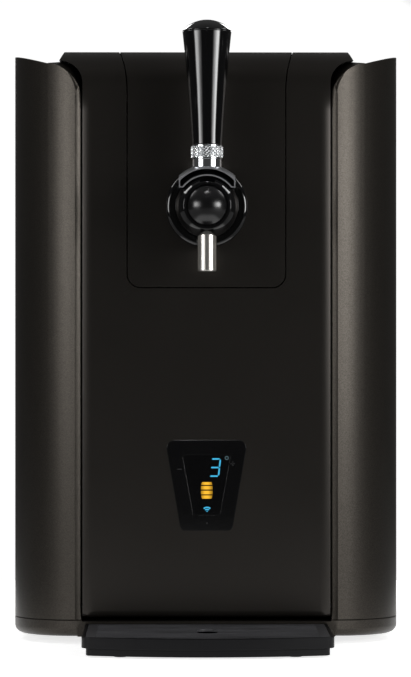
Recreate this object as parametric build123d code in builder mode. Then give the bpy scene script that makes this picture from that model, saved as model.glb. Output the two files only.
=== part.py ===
from build123d import *
from math import acos, degrees, sqrt
import os

# Mini keg beer dispenser: a cooled keg chamber behind a drop-down door, with a lid that carries the
# tap, two side panels, a base pan and a drip tray. Millimetres; +Z up, the front looks along -Y, and
# the origin lies on the table under the middle of the machine.

os.makedirs("parts", exist_ok=True)

# ------------------------------------------------------------------ driving dimensions
wall = 3.0                      # moulded walls
seam_gap = 0.6                  # gap between outer panels
fit = 0.3                       # clearance of a piece that drops into another
pin_clearance = 0.05            # radial, running fit
seat_gap = 0.15                 # between faces that turn or lift apart

body_half_width = 140.0
door_face_y = -113.0
rear_y = 230.0
rear_recess = 4.0               # rear panel in from the back of the sides

foot_height = 5.0
foot_radius = 9.0
foot_set_back = 83.0            # front feet behind the side panels' front edge
base_top = 17.3
base_edge_radius = 6.0
base_step = 1.3                 # base top is lower under the door
seam_chamfer = 0.8

front_flat_half = 95.0          # half width of the flat front, between the rounded corners
panel_rear_radius = 25.0
panel_set_back = 1.0            # front edge of the side panels behind the door face
panel_top_drop = 2.5            # below the crown, as the three that follow
panel_valley_drop = 9.6
bevel_top_drop = 10.2
ear_drop = 24.5
panel_valley_width = 8.6        # beyond the ears
bevel_top_width = 10.8          # beyond the ears
bevel_width = 4.6
bevel_depth = 3.2               # beside the door, behind the door face
bevel_shoulder_depth = 14.0     # round the ears, behind the door face
bevel_shoulder_root = 0.6       # width that the deep shoulder keeps beside the door

door_half_width = 89.4
door_bottom_z = 19.0
door_depth = 26.0
door_foot_depth = 20.0          # the door is thinner below the liner
door_lip_radius = 5.0
door_liner_thickness = 2.5
ear_reach = 17.0                # beyond the door's sides
ear_lean = 3.6
crown_z = 428.5

lid_half_width = 56.8
apron_length = 171.5            # down from the crown
lid_corner_radius = 9.5
lid_flare_drop = 29.5           # below the crown
lid_flare_width = 5.7
lid_gap = 0.8
apron_depth = 18.0
lid_hinge_radius = 8.0
lid_length = 218.0              # door face to the lid's hinge axis
lid_liner_thickness = 2.5

frame_thickness = 4.4
frame_rim = 3.4
frame_ledge = 12.0
gasket_width = 2.8
gasket_thickness = 3.3

chamber_half_width = 88.0
chamber_depth = 178.0
chamber_floor_z = 30.0
liner_wall = 2.5
foam_thickness = 12.0

hinge_pin_radius = 2.0
hinge_pin_length = 15.0
door_axis_depth = 8.0           # behind the door face
door_axis_rise = 8.0            # above the door's lower edge
hinge_bracket_width = 4.5
hinge_bracket_depth = 14.0
hinge_boss_radius = 2.8
hinge_hole_gap = 1.0            # side panels round the pins

tap_rise = 57.0                 # lever's pivot above the apron's lower edge
tap_reach = 32.0                # door face to the lever's pivot
drum_radius = 29.2
drum_bore = 26.4
drum_front_gap = 3.0            # drum edge behind the pivot
ball_radius = 23.0
hood_inner_radius = 24.3
hood_outer_radius = 29.6
hood_wall = 0.9
hood_half_width = 20.0
hood_half_depth = 12.0
hood_low_z = 12.8               # above the pivot
stud_low = 24.6                 # above the pivot, clear of the ball
web_half_width = 5.0
hub_radius = 5.5
web_half_depth = 3.0
pivot_pin_radius = 2.0
pivot_pin_half = 21.5
stem_radius = 11.0
beer_bore = 3.2
ring_radius = 17.0
ring_thickness = 1.2
dome_radius = 14.6
dome_height = 7.8
dome_sink = 1.0
spout_radius = 6.6
spout_bore = 4.4
spout_drop = 46.4               # its mouth below the pivot
spout_forward = 4.0
spout_socket = 5.0
neck_radius = 10.7
neck_rise = 29.5                # above the pivot
neck_height = 4.2
collar_radius = 11.5
collar_height = 9.6
handle_low_radius = 10.9
handle_top_radius = 17.4
handle_height = 80.4
handle_hollow = 0.5             # how far the handle's sides curve in
cap_height = 8.6
cap_rim = 1.0
cap_edge_radius = 1.2
knurl_radius = 0.6
knurl_count = 32
stud_length = 66.0
stud_radius = 2.5

bezel_low_z = 81.6
bezel_height = 65.2
bezel_top_half = 29.8
bezel_low_half = 18.5
bezel_top_radius = 5.8
bezel_low_radius = 3.2
bezel_proud = 0.6
bezel_flange = 2.0
window_rise = 11.0              # above the bezel's lower edge
window_height = 43.4
window_top_half = 17.4
window_low_half = 9.6
window_radius = 1.6

tray_reach = 117.0
tray_half_width = 87.4
tray_bow = 14.0                 # its front curves out by this much
tray_corner_radius = 8.0
tray_top_z = 14.3
tray_rim_height = 7.8
tray_step = 3.0
tray_floor_z = 1.2
tray_wall = 2.4
tray_tongue_depth = 30.0
tray_tongue_half = 70.0
tray_tongue_z = 8.5
tray_tongue_thickness = 3.0
plate_thickness = 2.0
plate_groove = 0.6
plate_pitch = 3.6
drain_width = 14.7
drain_length = 34.0

cold_block_width = 60.0
cold_block_height = 80.0
peltier_size = 40.0
peltier_thickness = 4.0
cooler_z = 200.0
sink_width = 104.0
sink_height = 120.0
sink_base = 6.0
fin_count = 15
fin_thickness = 1.5
fan_size = 92.0
fan_depth = 25.0
fan_bore = 43.0
fan_hub_radius = 17.0
blade_count = 7
fan_corner = 5.0
fan_hole_pitch = 82.5
blade_chord = 19.0
blade_thickness = 1.6
blade_pitch = 38.0
axle_radius = 2.0
spacer_radius = 3.0
spacer_inset = 8.0
guard_wire = 1.6
guard_ring_pitch = 7.5

keg_radius = 85.0               # the keg that the chamber is made for
keg_gap = 2.0
rest_rib_width = 8.0
rest_rib_count = 6
sensor_radius = 4.0
sensor_x = 52.0
sensor_z = 120.0
coupler_radius = 7.0
coupler_length = 26.0
coupler_drop = 76.5             # below the crown
hose_radius = 4.0
magnet_radius = 5.0
magnet_thickness = 3.0

screw_radius = 1.6
screw_head_radius = 3.0
screw_head_height = 1.8
screw_length = 9.0
vent_width = 3.0
vent_pitch = 7.5
vent_count = 12
vent_height = 30.0
vent_z = 100.0

power_x = -58.0                 # inlet and switch side by side, low in the back
power_z = 44.0
inlet_width = 27.4
inlet_height = 20.4
inlet_depth = 24.0
inlet_flange_width = 48.0
inlet_flange_height = 26.0
inlet_flange = 2.4
blade_pin_pitch = 7.0
switch_gap = 22.0
switch_width = 13.0
switch_height = 19.0
switch_depth = 16.0
switch_rim = 1.6
switch_wall = 1.5
rocker_gap = 0.7
rocker_depth = 6.0              # its pivot below the switch's rim
rocker_low = 3.2                # its flush half above the pivot
rocker_high = 5.8               # its raised end above the pivot
rocker_pin_radius = 1.4
rocker_hub_radius = 2.8

pump_radius = 15.0
pump_length = 44.0
pump_head = 22.0
pump_x = 78.0
pump_outlet_length = 10.0
hose_stand_off = 28.0           # hose behind the foam
hose_side_bend = 30.0
hose_end_bend = 20.0
coupler_bore = 2.0
coupler_flange = 10.0
sensor_tip = 6.0
supply_width = 62.0
supply_depth = 76.0
supply_height = 36.0
supply_gap = 4.0                # behind the foam
supply_slots = 9
supply_slot_pitch = 6.0
board_length = 96.0
board_height = 74.0
board_thickness = 1.6
board_standoff = 6.0
board_y = 20.0
board_z = 40.0
board_inset = 6.0
relay_size = 18.0
relay_height = 8.0
capacitor_radius = 5.0
capacitor_length = 18.0

# ------------------------------------------------------------------ derived places
panel_corner_radius = body_half_width - front_flat_half
panel_top_z = crown_z - panel_top_drop
panel_valley_z = crown_z - panel_valley_drop
bevel_top_z = crown_z - bevel_top_drop
ear_root_z = crown_z - ear_drop
ear_half_width = door_half_width + ear_reach
crown_half_width = ear_half_width - ear_lean
panel_valley_half = ear_half_width + panel_valley_width
bevel_top_half = ear_half_width + bevel_top_width
lid_bottom_z = crown_z - apron_length
lid_flare_z = crown_z - lid_flare_drop
lid_top_half_width = lid_half_width + lid_flare_width
tap_z = lid_bottom_z + tap_rise
spout_end_z = tap_z - spout_drop
neck_low_z = tap_z + neck_rise
bezel_top_z = bezel_low_z + bezel_height
window_low_z = bezel_low_z + window_rise
window_top_z = window_low_z + window_height
coupler_z = crown_z - coupler_drop
panel_front_y = door_face_y + panel_set_back
panel_inner_half = door_half_width + seam_gap
panel_front_half = panel_inner_half + bevel_width
frame_front_y = door_face_y + door_depth + seam_gap
frame_back_y = frame_front_y + frame_thickness
chamber_back_y = frame_back_y + chamber_depth
liner_back_y = chamber_back_y + liner_wall
foam_back_y = liner_back_y + foam_thickness
cover_z = ear_root_z - 2 * wall
lid_hinge_y = door_face_y + lid_length
lid_hinge_z = crown_z - lid_hinge_radius
strip_under_z = crown_z - 2 * lid_hinge_radius
door_axis_y = door_face_y + door_axis_depth
door_axis_z = door_bottom_z + door_axis_rise
tap_y = door_face_y - tap_reach
base_under_door = base_top - base_step
drum_front_y = tap_y + drum_front_gap
ball_front = sqrt(ball_radius**2 - ring_radius**2)
collar_low_z = neck_low_z + neck_height
handle_low_z = collar_low_z + collar_height + 2 * seat_gap
handle_top_z = handle_low_z + handle_height
stud_top_z = tap_z + stud_low + stud_length
tray_front_y = door_face_y - tray_reach
tray_back_y = panel_front_y - fit
tongue_back_y = tray_back_y + tray_tongue_depth
recess_back_y = tongue_back_y + 2 * fit
recess_roof_z = tray_tongue_z + tray_tongue_thickness + fit
sink_front_y = foam_back_y + peltier_thickness
back_face_y = rear_y - rear_recess
panel_inside_y = back_face_y - wall
fan_front_y = panel_inside_y - fan_depth
fin_end_y = fan_front_y - 2 * wall
keg_y = chamber_back_y - keg_gap - keg_radius
window_half = door_half_width - frame_rim
slot_half = lid_top_half_width + lid_gap
slot_end_y = lid_hinge_y + lid_hinge_radius + lid_gap
slot_floor_y = chamber_back_y - 2 * wall
lid_pin_end = slot_half + 2 * wall
liner_half = chamber_half_width + liner_wall
foam_low_z = base_top + fit
magnet_x = (lid_half_width + lid_gap + window_half) / 2
magnet_z = cover_z - frame_ledge / 2
post_x = chamber_half_width - foot_radius
post_front_y = frame_back_y + 2 * foot_radius
post_rear_y = chamber_back_y - foot_radius
door_back_y = door_face_y + door_depth
door_step_z = door_axis_z - wall
gasket_front_y = frame_front_y - pin_clearance - gasket_thickness
door_liner_y = gasket_front_y - door_liner_thickness
flange_x = door_half_width - 2 * spacer_inset
panel_screw_places = [
    (x, z)
    for x in (-door_half_width + spacer_inset, door_half_width - spacer_inset)
    for z in (base_top + spacer_inset, cooler_z, cover_z - spacer_inset)
]
switch_x = power_x + inlet_flange_width / 2 + switch_gap
hinge_bracket_x = panel_front_half + wall + fit
hinge_pin_out = hinge_bracket_x + hinge_bracket_width
beyond = 500.0                  # past any face of the machine


def block(x, y, z, mode=Mode.ADD):
    """Box between two x, two y and two z values."""
    with Locations(((x[0] + x[1]) / 2, (y[0] + y[1]) / 2, (z[0] + z[1]) / 2)):
        Box(abs(x[1] - x[0]), abs(y[1] - y[0]), abs(z[1] - z[0]), mode=mode)


def bar(radius, centre, length, axis, mode=Mode.ADD):
    """Round bar with its middle at centre, along X, Y or Z."""
    turn = {"X": (0, 90, 0), "Y": (90, 0, 0), "Z": (0, 0, 0)}[axis]
    with Locations(centre):
        Cylinder(radius, length, rotation=turn, mode=mode)


def at_y(y):
    """Upright plane at depth y: sketch x is X, sketch y is Z, and a positive extrusion comes forward."""
    return Plane.XZ.offset(-y)


# ------------------------------------------------------------------ outlines shared by the panels
def body_plan(inset, z):
    """Right half of the body seen from above, its skin moved in by inset."""
    corner_y = panel_front_y + panel_corner_radius
    side_x = body_half_width - inset
    front_half = body_half_width - panel_corner_radius
    with BuildSketch(Plane.XY.offset(z)) as plan:
        with BuildLine():
            Line((0, panel_front_y + inset), (front_half, panel_front_y + inset))
            CenterArc((front_half, corner_y), panel_corner_radius - inset, 270, 90)
            Line((side_x, corner_y), (side_x, rear_y - panel_rear_radius))
            CenterArc(
                (body_half_width - panel_rear_radius, rear_y - panel_rear_radius),
                panel_rear_radius - inset, 0, 90,
            )
            Polyline(
                (body_half_width - panel_rear_radius, rear_y - inset),
                (0, rear_y - inset),
                (0, panel_front_y + inset),
            )
        make_face()
    return plan.sketch


def core_front(low_z, y):
    """Front view of the door and top cover at depth y: upright sides that flare into two ears."""
    with BuildSketch(at_y(y)) as outline:
        with BuildLine():
            Polyline((0, low_z), (door_half_width, low_z), (door_half_width, ear_root_z))
            CenterArc((ear_half_width, ear_root_z), ear_half_width - door_half_width, 180, -90)
            Polyline(
                (ear_half_width, ear_root_z + ear_half_width - door_half_width),
                (crown_half_width, crown_z),
                (0, crown_z),
                (0, low_z),
            )
        make_face()
        mirror(about=Plane.YZ)
    return outline.sketch


def core_hollow(low_z):
    """Front view of the space inside the door and top cover."""
    hollow = ear_half_width - door_half_width + wall
    reach = 2 * wall
    with BuildSketch(Plane.XZ) as outline:
        with BuildLine():
            side = door_half_width - wall
            Polyline((0, low_z), (side, low_z), (side, ear_root_z))
            under = CenterArc((ear_half_width, ear_root_z), hollow, 180, -degrees(acos(reach / hollow)))
            Polyline(under @ 1, (ear_half_width - reach, crown_z - wall), (0, crown_z - wall), (0, low_z))
        make_face()
        mirror(about=Plane.YZ)
    return outline.sketch


def lid_front(grow):
    """Front view of the lid's apron, rounded below and flared at the top, its sides moved out by grow."""
    half = lid_half_width + grow
    top_half = lid_top_half_width + grow
    corner_z = lid_bottom_z + lid_corner_radius
    with BuildSketch(Plane.XZ) as outline:
        with BuildLine():
            Line((0, lid_bottom_z - grow), (lid_half_width - lid_corner_radius, lid_bottom_z - grow))
            CenterArc((lid_half_width - lid_corner_radius, corner_z), lid_corner_radius + grow, 270, 90)
            Line((half, corner_z), (half, lid_flare_z))
            TangentArc((half, lid_flare_z), (top_half, crown_z), tangent=(0, 1))
            Polyline(
                (top_half, crown_z),
                (top_half, crown_z + wall),
                (0, crown_z + wall),
                (0, lid_bottom_z - grow),
            )
        make_face()
        mirror(about=Plane.YZ)
    return outline.sketch


def door_side(inset, low_z):
    """Side view of the door: an upright face that rolls back into the brow, and a little more."""
    brow = door_depth
    back_y = door_back_y + wall
    with BuildSketch(Plane.YZ) as outline:
        with BuildLine():
            Line((door_face_y + inset, low_z), (door_face_y + inset, crown_z - brow))
            CenterArc((door_face_y + brow, crown_z - brow), brow - inset, 180, -90)
            Polyline(
                (door_face_y + brow, crown_z - inset),
                (back_y, crown_z - inset),
                (back_y, low_z),
                (door_face_y + inset, low_z),
            )
        make_face()
    return outline.sketch


def lid_side(inset, inner_y, inner_z, rear_end):
    """Side view of the lid: apron, brow, top strip and, if rear_end is set, its round hinge end."""
    brow = door_depth
    low_z = lid_bottom_z - wall
    with BuildSketch(Plane.YZ) as outline:
        with BuildLine():
            Line((door_face_y + inset, low_z), (door_face_y + inset, crown_z - brow))
            CenterArc((door_face_y + brow, crown_z - brow), brow - inset, 180, -90)
            if rear_end:
                Line((door_face_y + brow, crown_z - inset), (lid_hinge_y, crown_z - inset))
                CenterArc((lid_hinge_y, lid_hinge_z), lid_hinge_radius, 90, -180)
                Line((lid_hinge_y, inner_z), (inner_y, inner_z))
            else:
                Polyline(
                    (door_face_y + brow, crown_z - inset),
                    (lid_hinge_y - 2 * lid_hinge_radius, crown_z - inset),
                    (lid_hinge_y - 2 * lid_hinge_radius, inner_z),
                    (inner_y, inner_z),
                )
            Polyline((inner_y, inner_z), (inner_y, low_z), (door_face_y + inset, low_z))
        make_face()
    return outline.sketch


def trapezoid(top_z, low_z, top_half, low_half, top_radius, low_radius, y):
    """Display outline, wider at the top, in the upright plane at y."""
    with BuildSketch(at_y(y)) as outline:
        with BuildLine():
            Polyline(
                (-low_half, low_z), (low_half, low_z), (top_half, top_z), (-top_half, top_z), close=True
            )
        make_face()
        fillet(outline.vertices().group_by(Axis.Y)[-1], top_radius)
        fillet(outline.vertices().group_by(Axis.Y)[0], low_radius)
    return outline.sketch


# ------------------------------------------------------------------ base pan and feet
with BuildPart() as base_pan:
    extrude(body_plan(0, foot_height), amount=base_top - foot_height)
    mirror(about=Plane.YZ)
    fillet(base_pan.faces().sort_by(Axis.Z)[0].edges(), base_edge_radius)
    chamfer(base_pan.faces().sort_by(Axis.Z)[-1].edges(), seam_chamfer)
    hollow_z = foot_height + wall
    extrude(body_plan(wall, hollow_z), amount=base_top, mode=Mode.SUBTRACT)
    extrude(mirror(body_plan(wall, hollow_z), about=Plane.YZ, mode=Mode.PRIVATE), amount=base_top,
            mode=Mode.SUBTRACT)
    # front bridge under the door, with the slot for the drip tray's tongue below it
    block((-panel_inner_half - wall, panel_inner_half + wall), (panel_front_y, recess_back_y + wall),
          (foot_height, base_under_door))
    block((-panel_inner_half, panel_inner_half), (door_face_y - wall, frame_front_y),
          (base_under_door, base_top + wall), mode=Mode.SUBTRACT)
    block((-tray_half_width - fit, tray_half_width + fit), (door_face_y - wall, recess_back_y),
          (0, recess_roof_z), mode=Mode.SUBTRACT)
    # posts that carry the chamber
    post_height = chamber_floor_z - liner_wall - foot_height
    for x in (-post_x, post_x):
        for y in (post_front_y, post_rear_y):
            bar(foot_radius, (x, y, foot_height + post_height / 2), post_height, "Z")
base_pan.part.label = "base_pan"
export_step(base_pan.part, "parts/base_pan.step")

foot_x = body_half_width - 2.6 * foot_radius
foot_front_y = panel_front_y + foot_set_back
foot_rear_y = rear_y - panel_rear_radius - foot_radius
foot_places = [(x, y) for x in (-foot_x, foot_x) for y in (foot_front_y, foot_rear_y)]

with BuildPart() as rubber_feet:
    with BuildSketch():
        with Locations(*foot_places):
            Circle(foot_radius)
    extrude(amount=foot_height)
    chamfer(rubber_feet.faces().filter_by(Plane.XY).group_by(Axis.Z)[0].edges(), seam_chamfer)
rubber_feet.part.label = "rubber_feet"
export_step(rubber_feet.part, "parts/rubber_feet.step")


# ------------------------------------------------------------------ side panels
def panel_front(grow):
    """Front view of the right side panel: hollow shoulder, shallow valley and outer edge."""
    inner = panel_inner_half + grow
    shoulder = ear_half_width - inner
    with BuildSketch(Plane.XZ) as outline:
        with BuildLine():
            Line((inner, 0), (inner, ear_root_z))
            CenterArc((ear_half_width, ear_root_z), shoulder, 180, -90)
            Polyline(
                (ear_half_width, ear_root_z + shoulder),
                (panel_valley_half, panel_valley_z - grow),
                (body_half_width, panel_top_z - grow),
                (body_half_width, 0),
                (inner, 0),
            )
        make_face()
    return outline.sketch


def bevel_section(half, top_half, top_z, y):
    """Front view of the bevel's mouth: straight side and rounded shoulder."""
    radius = top_half - half
    with BuildSketch(at_y(y)) as outline:
        with BuildLine():
            Line((half, 0), (half, top_z - radius))
            CenterArc((top_half, top_z - radius), radius, 180, -90)
            Polyline((top_half, top_z), (top_half, crown_z), (wall, crown_z), (wall, 0), (half, 0))
        make_face()
    return outline.sketch


def bevel_mouth(grow):
    """Space of the bevel: shallow beside the door and, in one with it, deep round the ears."""
    shoulder_z = ear_root_z + ear_half_width - panel_inner_half
    with BuildPart() as mouth:
        for width, depth in ((bevel_width, bevel_depth), (bevel_shoulder_root, bevel_shoulder_depth)):
            front = bevel_section(
                panel_inner_half + width + grow, bevel_top_half, bevel_top_z - grow, panel_front_y
            )
            back = bevel_section(
                panel_inner_half + grow, ear_half_width, shoulder_z - grow, door_face_y + depth
            )
            loft(sections=[front, back], ruled=True)
    return mouth.part


front_mouth = bevel_mouth(0)
inner_mouth = bevel_mouth(wall)

with BuildPart() as panel_space:
    extrude(body_plan(wall, 0), amount=crown_z)
    extrude(panel_front(wall), amount=beyond, both=True, mode=Mode.INTERSECT)
    add(inner_mouth, mode=Mode.SUBTRACT)

with BuildPart() as right_side_panel:
    extrude(body_plan(0, base_top), amount=crown_z - base_top)
    extrude(panel_front(0), amount=beyond, both=True, mode=Mode.INTERSECT)
    add(front_mouth, mode=Mode.SUBTRACT)
    add(panel_space.part, mode=Mode.SUBTRACT)
    block((0, ear_half_width - 2 * wall), (frame_back_y, panel_inside_y - wall), (0, cover_z),
          mode=Mode.SUBTRACT)
    # flange that the rear panel is screwed to
    block((flange_x, panel_inner_half + wall), (panel_inside_y - wall, panel_inside_y),
          (base_top, cover_z - fit))
    for x, z in panel_screw_places:
        bar(screw_radius, (x, panel_inside_y, z), 4 * wall, "Y", mode=Mode.SUBTRACT)
    bar(hinge_pin_radius + hinge_hole_gap, (panel_inner_half, door_axis_y, door_axis_z), 4 * bevel_width, "X",
        mode=Mode.SUBTRACT)
right_side_panel.part.label = "right_side_panel"
export_step(right_side_panel.part, "parts/right_side_panel.step")

with BuildPart() as left_side_panel:
    mirror(right_side_panel.part, about=Plane.YZ)
left_side_panel.part.label = "left_side_panel"
export_step(left_side_panel.part, "parts/left_side_panel.step")


# ------------------------------------------------------------------ top cover
def cover_side(inset):
    """Side view of the top cover, round at its rear edge."""
    round_y = rear_y - panel_rear_radius
    round_z = crown_z - panel_rear_radius
    with BuildSketch(Plane.YZ) as outline:
        with BuildLine():
            Polyline(
                (frame_front_y + inset, 0),
                (frame_front_y + inset, crown_z - inset),
                (round_y, crown_z - inset),
            )
            CenterArc((round_y, round_z), panel_rear_radius - inset, 90, -90)
            Polyline((rear_y - inset, round_z), (rear_y - inset, 0), (frame_front_y + inset, 0))
        make_face()
    return outline.sketch


with BuildPart() as cover_space:
    extrude(cover_side(wall), amount=beyond, both=True)
    extrude(core_hollow(0), amount=beyond, both=True, mode=Mode.INTERSECT)
    block((-slot_half - wall, slot_half + wall), (frame_front_y, slot_end_y + wall), (0, crown_z),
          mode=Mode.SUBTRACT)

with BuildPart() as lid_slot:
    extrude(lid_front(lid_gap), amount=beyond, both=True)
    block((-body_half_width, body_half_width), (door_face_y, slot_end_y), (0, 2 * crown_z),
          mode=Mode.INTERSECT)
    block((-body_half_width, body_half_width), (slot_floor_y, slot_end_y), (0, strip_under_z - lid_gap),
          mode=Mode.SUBTRACT)
    # full width where the lid's flared rear end turns
    block((-slot_half, slot_half), (lid_hinge_y - lid_hinge_radius - lid_gap, slot_end_y),
          (strip_under_z - lid_gap, 2 * crown_z))

with BuildPart() as top_cover:
    extrude(cover_side(0), amount=beyond, both=True)
    extrude(core_front(cover_z, rear_y), amount=beyond, mode=Mode.INTERSECT)
    add(cover_space.part, mode=Mode.SUBTRACT)
    add(lid_slot.part, mode=Mode.SUBTRACT)
    block((-lid_half_width, lid_half_width), (slot_floor_y + wall, slot_end_y),
          (cover_z, strip_under_z - lid_gap - wall), mode=Mode.SUBTRACT)
    bar(hinge_pin_radius, (0, lid_hinge_y, lid_hinge_z), 2 * lid_pin_end, "X", mode=Mode.SUBTRACT)
top_cover.part.label = "top_cover"
export_step(top_cover.part, "parts/top_cover.step")

# ------------------------------------------------------------------ front frame and its magnets
with BuildPart() as front_frame:
    block((-door_half_width, door_half_width), (frame_front_y, frame_back_y), (base_top, cover_z))
    block((-window_half, window_half), (frame_front_y, frame_back_y),
          (chamber_floor_z, cover_z - frame_ledge), mode=Mode.SUBTRACT)
    block((-lid_half_width - lid_gap, lid_half_width + lid_gap), (frame_front_y, frame_back_y),
          (chamber_floor_z, cover_z), mode=Mode.SUBTRACT)
    for x in (-magnet_x, magnet_x):
        bar(magnet_radius, (x, frame_front_y, magnet_z), 2 * magnet_thickness, "Y", mode=Mode.SUBTRACT)
front_frame.part.label = "front_frame"
export_step(front_frame.part, "parts/front_frame.step")

with BuildPart() as frame_magnets:
    for x in (-magnet_x, magnet_x):
        bar(magnet_radius, (x, frame_front_y + magnet_thickness / 2, magnet_z), magnet_thickness, "Y")
frame_magnets.part.label = "frame_magnets"
export_step(frame_magnets.part, "parts/frame_magnets.step")

# ------------------------------------------------------------------ keg chamber and its foam
cold_x = (-cold_block_width / 2, cold_block_width / 2)
cold_z = (cooler_z - cold_block_height / 2, cooler_z + cold_block_height / 2)

with BuildPart() as chamber_liner:
    block((-liner_half, liner_half), (frame_back_y, liner_back_y), (chamber_floor_z - liner_wall, cover_z))
    block((-chamber_half_width, chamber_half_width), (frame_back_y, chamber_back_y),
          (chamber_floor_z, cover_z - liner_wall), mode=Mode.SUBTRACT)
    block((-lid_half_width - lid_gap, lid_half_width + lid_gap), (frame_back_y, slot_floor_y),
          (chamber_floor_z, cover_z), mode=Mode.SUBTRACT)
    block(cold_x, (chamber_back_y, liner_back_y), cold_z, mode=Mode.SUBTRACT)
    bar(sensor_radius, (sensor_x, liner_back_y, sensor_z), 4 * liner_wall, "Y", mode=Mode.SUBTRACT)
    bar(hose_radius, (0, liner_back_y, coupler_z), 4 * liner_wall, "Y", mode=Mode.SUBTRACT)
chamber_liner.part.label = "chamber_liner"
export_step(chamber_liner.part, "parts/chamber_liner.step")

with BuildPart() as foam_jacket:
    block((-liner_half - foam_thickness, liner_half + foam_thickness), (frame_back_y, foam_back_y),
          (foam_low_z, cover_z - fit))
    block((-liner_half, liner_half), (frame_back_y, liner_back_y), (chamber_floor_z - liner_wall, cover_z),
          mode=Mode.SUBTRACT)
    block(cold_x, (liner_back_y, foam_back_y), cold_z, mode=Mode.SUBTRACT)
    bar(sensor_radius, (sensor_x, foam_back_y, sensor_z), 4 * foam_thickness, "Y", mode=Mode.SUBTRACT)
    bar(hose_radius, (0, foam_back_y, coupler_z), 3 * foam_thickness, "Y", mode=Mode.SUBTRACT)
    for x in (-post_x, post_x):
        for y in (post_front_y, post_rear_y):
            bar(foot_radius + fit, (x, y, chamber_floor_z), 4 * foam_thickness, "Z", mode=Mode.SUBTRACT)
foam_jacket.part.label = "foam_jacket"
export_step(foam_jacket.part, "parts/foam_jacket.step")

with BuildPart() as keg_rest:
    with BuildSketch(Plane.XY.offset(chamber_floor_z)):
        with Locations((0, keg_y)):
            Circle(keg_radius - 2 * wall)
            with PolarLocations(keg_radius / 2, rest_rib_count):
                Rectangle(keg_radius / 2, rest_rib_width, mode=Mode.SUBTRACT)
    extrude(amount=wall)
keg_rest.part.label = "keg_rest"
export_step(keg_rest.part, "parts/keg_rest.step")

# ------------------------------------------------------------------ cooler behind the chamber
with BuildPart() as cold_block:
    block(cold_x, (chamber_back_y - 3 * wall, foam_back_y), cold_z)
    bar(keg_radius, (0, keg_y, cooler_z), 2 * cold_block_height, "Z", mode=Mode.SUBTRACT)
cold_block.part.label = "cold_block"
export_step(cold_block.part, "parts/cold_block.step")

with BuildPart() as peltier_module:
    block((-peltier_size / 2, peltier_size / 2), (foam_back_y, sink_front_y),
          (cooler_z - peltier_size / 2, cooler_z + peltier_size / 2))
peltier_module.part.label = "peltier_module"
export_step(peltier_module.part, "parts/peltier_module.step")

fin_pitch = (sink_width - fin_thickness) / (fin_count - 1)

with BuildPart() as heat_sink:
    block((-sink_width / 2, sink_width / 2), (sink_front_y, sink_front_y + sink_base),
          (cooler_z - sink_height / 2, cooler_z + sink_height / 2))
    with Locations((0, (sink_front_y + fin_end_y) / 2, cooler_z)):
        with GridLocations(fin_pitch, 1, fin_count, 1):
            Box(fin_thickness, fin_end_y - sink_front_y, sink_height)
heat_sink.part.label = "heat_sink"
export_step(heat_sink.part, "parts/heat_sink.step")

with BuildPart() as sink_spacers:
    for x in (-sink_width / 2 + spacer_inset, sink_width / 2 - spacer_inset):
        for z in (-sink_height / 2 + spacer_inset, sink_height / 2 - spacer_inset):
            bar(spacer_radius, (x, (foam_back_y + sink_front_y) / 2, cooler_z + z), peltier_thickness, "Y")
sink_spacers.part.label = "sink_spacers"
export_step(sink_spacers.part, "parts/sink_spacers.step")

# ------------------------------------------------------------------ fan, in a plane that faces forward
fan_plane = Plane(origin=(0, panel_inside_y, cooler_z), x_dir=(1, 0, 0), z_dir=(0, -1, 0))
fan_strut_depth = wall

with BuildPart(fan_plane) as fan_frame:
    with BuildSketch(fan_plane):
        RectangleRounded(fan_size, fan_size, fan_corner)
        Circle(fan_bore, mode=Mode.SUBTRACT)
        with GridLocations(fan_hole_pitch, fan_hole_pitch, 2, 2):
            Circle(screw_radius, mode=Mode.SUBTRACT)
    extrude(amount=fan_depth)
    with BuildSketch(fan_plane):
        Circle(fan_hub_radius)
        with PolarLocations(fan_bore / 2, 4, start_angle=45):
            Rectangle(fan_bore + wall, wall)
    extrude(amount=fan_strut_depth)
    with BuildSketch(fan_plane):
        Circle(axle_radius)
    extrude(amount=fan_depth - wall)
fan_frame.part.label = "fan_frame"
export_step(fan_frame.part, "parts/fan_frame.step")

rotor_plane = fan_plane.offset(fan_strut_depth + seam_gap)
rotor_depth = fan_depth - fan_strut_depth - 2 * seam_gap
blade_reach = fan_bore - seam_gap - fan_hub_radius + wall

with BuildPart(rotor_plane) as fan_rotor:
    Cylinder(fan_hub_radius, rotor_depth, align=(Align.CENTER, Align.CENTER, Align.MIN))
    with Locations((0, 0, rotor_depth / 2)):
        with PolarLocations(fan_hub_radius - wall + blade_reach / 2, blade_count):
            Box(blade_reach, blade_chord, blade_thickness, rotation=(blade_pitch, 0, 0))
    Cylinder(fan_bore - seam_gap, 4 * fan_depth, mode=Mode.INTERSECT)
    Cylinder(axle_radius + pin_clearance, 4 * fan_depth, mode=Mode.SUBTRACT)
fan_rotor.part.label = "fan_rotor"
export_step(fan_rotor.part, "parts/fan_rotor.step")

# ------------------------------------------------------------------ rear panel

with BuildPart() as rear_panel:
    block((-door_half_width, door_half_width), (panel_inside_y, back_face_y), (base_top, cover_z))
    with BuildSketch(at_y(back_face_y)):
        with Locations((0, cooler_z)):
            Circle(fan_bore)
            with GridLocations(fan_hole_pitch, fan_hole_pitch, 2, 2):
                Circle(screw_radius)
        for z in (vent_z, cooler_z + cooler_z - vent_z):
            with Locations((0, z)):
                with GridLocations(vent_pitch, 1, vent_count, 1):
                    SlotOverall(vent_height, vent_width, rotation=90)
        with Locations((power_x, power_z)):
            RectangleRounded(inlet_width + 2 * fit, inlet_height + 2 * fit, wall)
        with Locations((switch_x, power_z)):
            Rectangle(switch_width + 2 * fit, switch_height + 2 * fit)
        with Locations(*panel_screw_places):
            Circle(screw_radius)
    extrude(amount=2 * wall, both=True, mode=Mode.SUBTRACT)
rear_panel.part.label = "rear_panel"
export_step(rear_panel.part, "parts/rear_panel.step")

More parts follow.
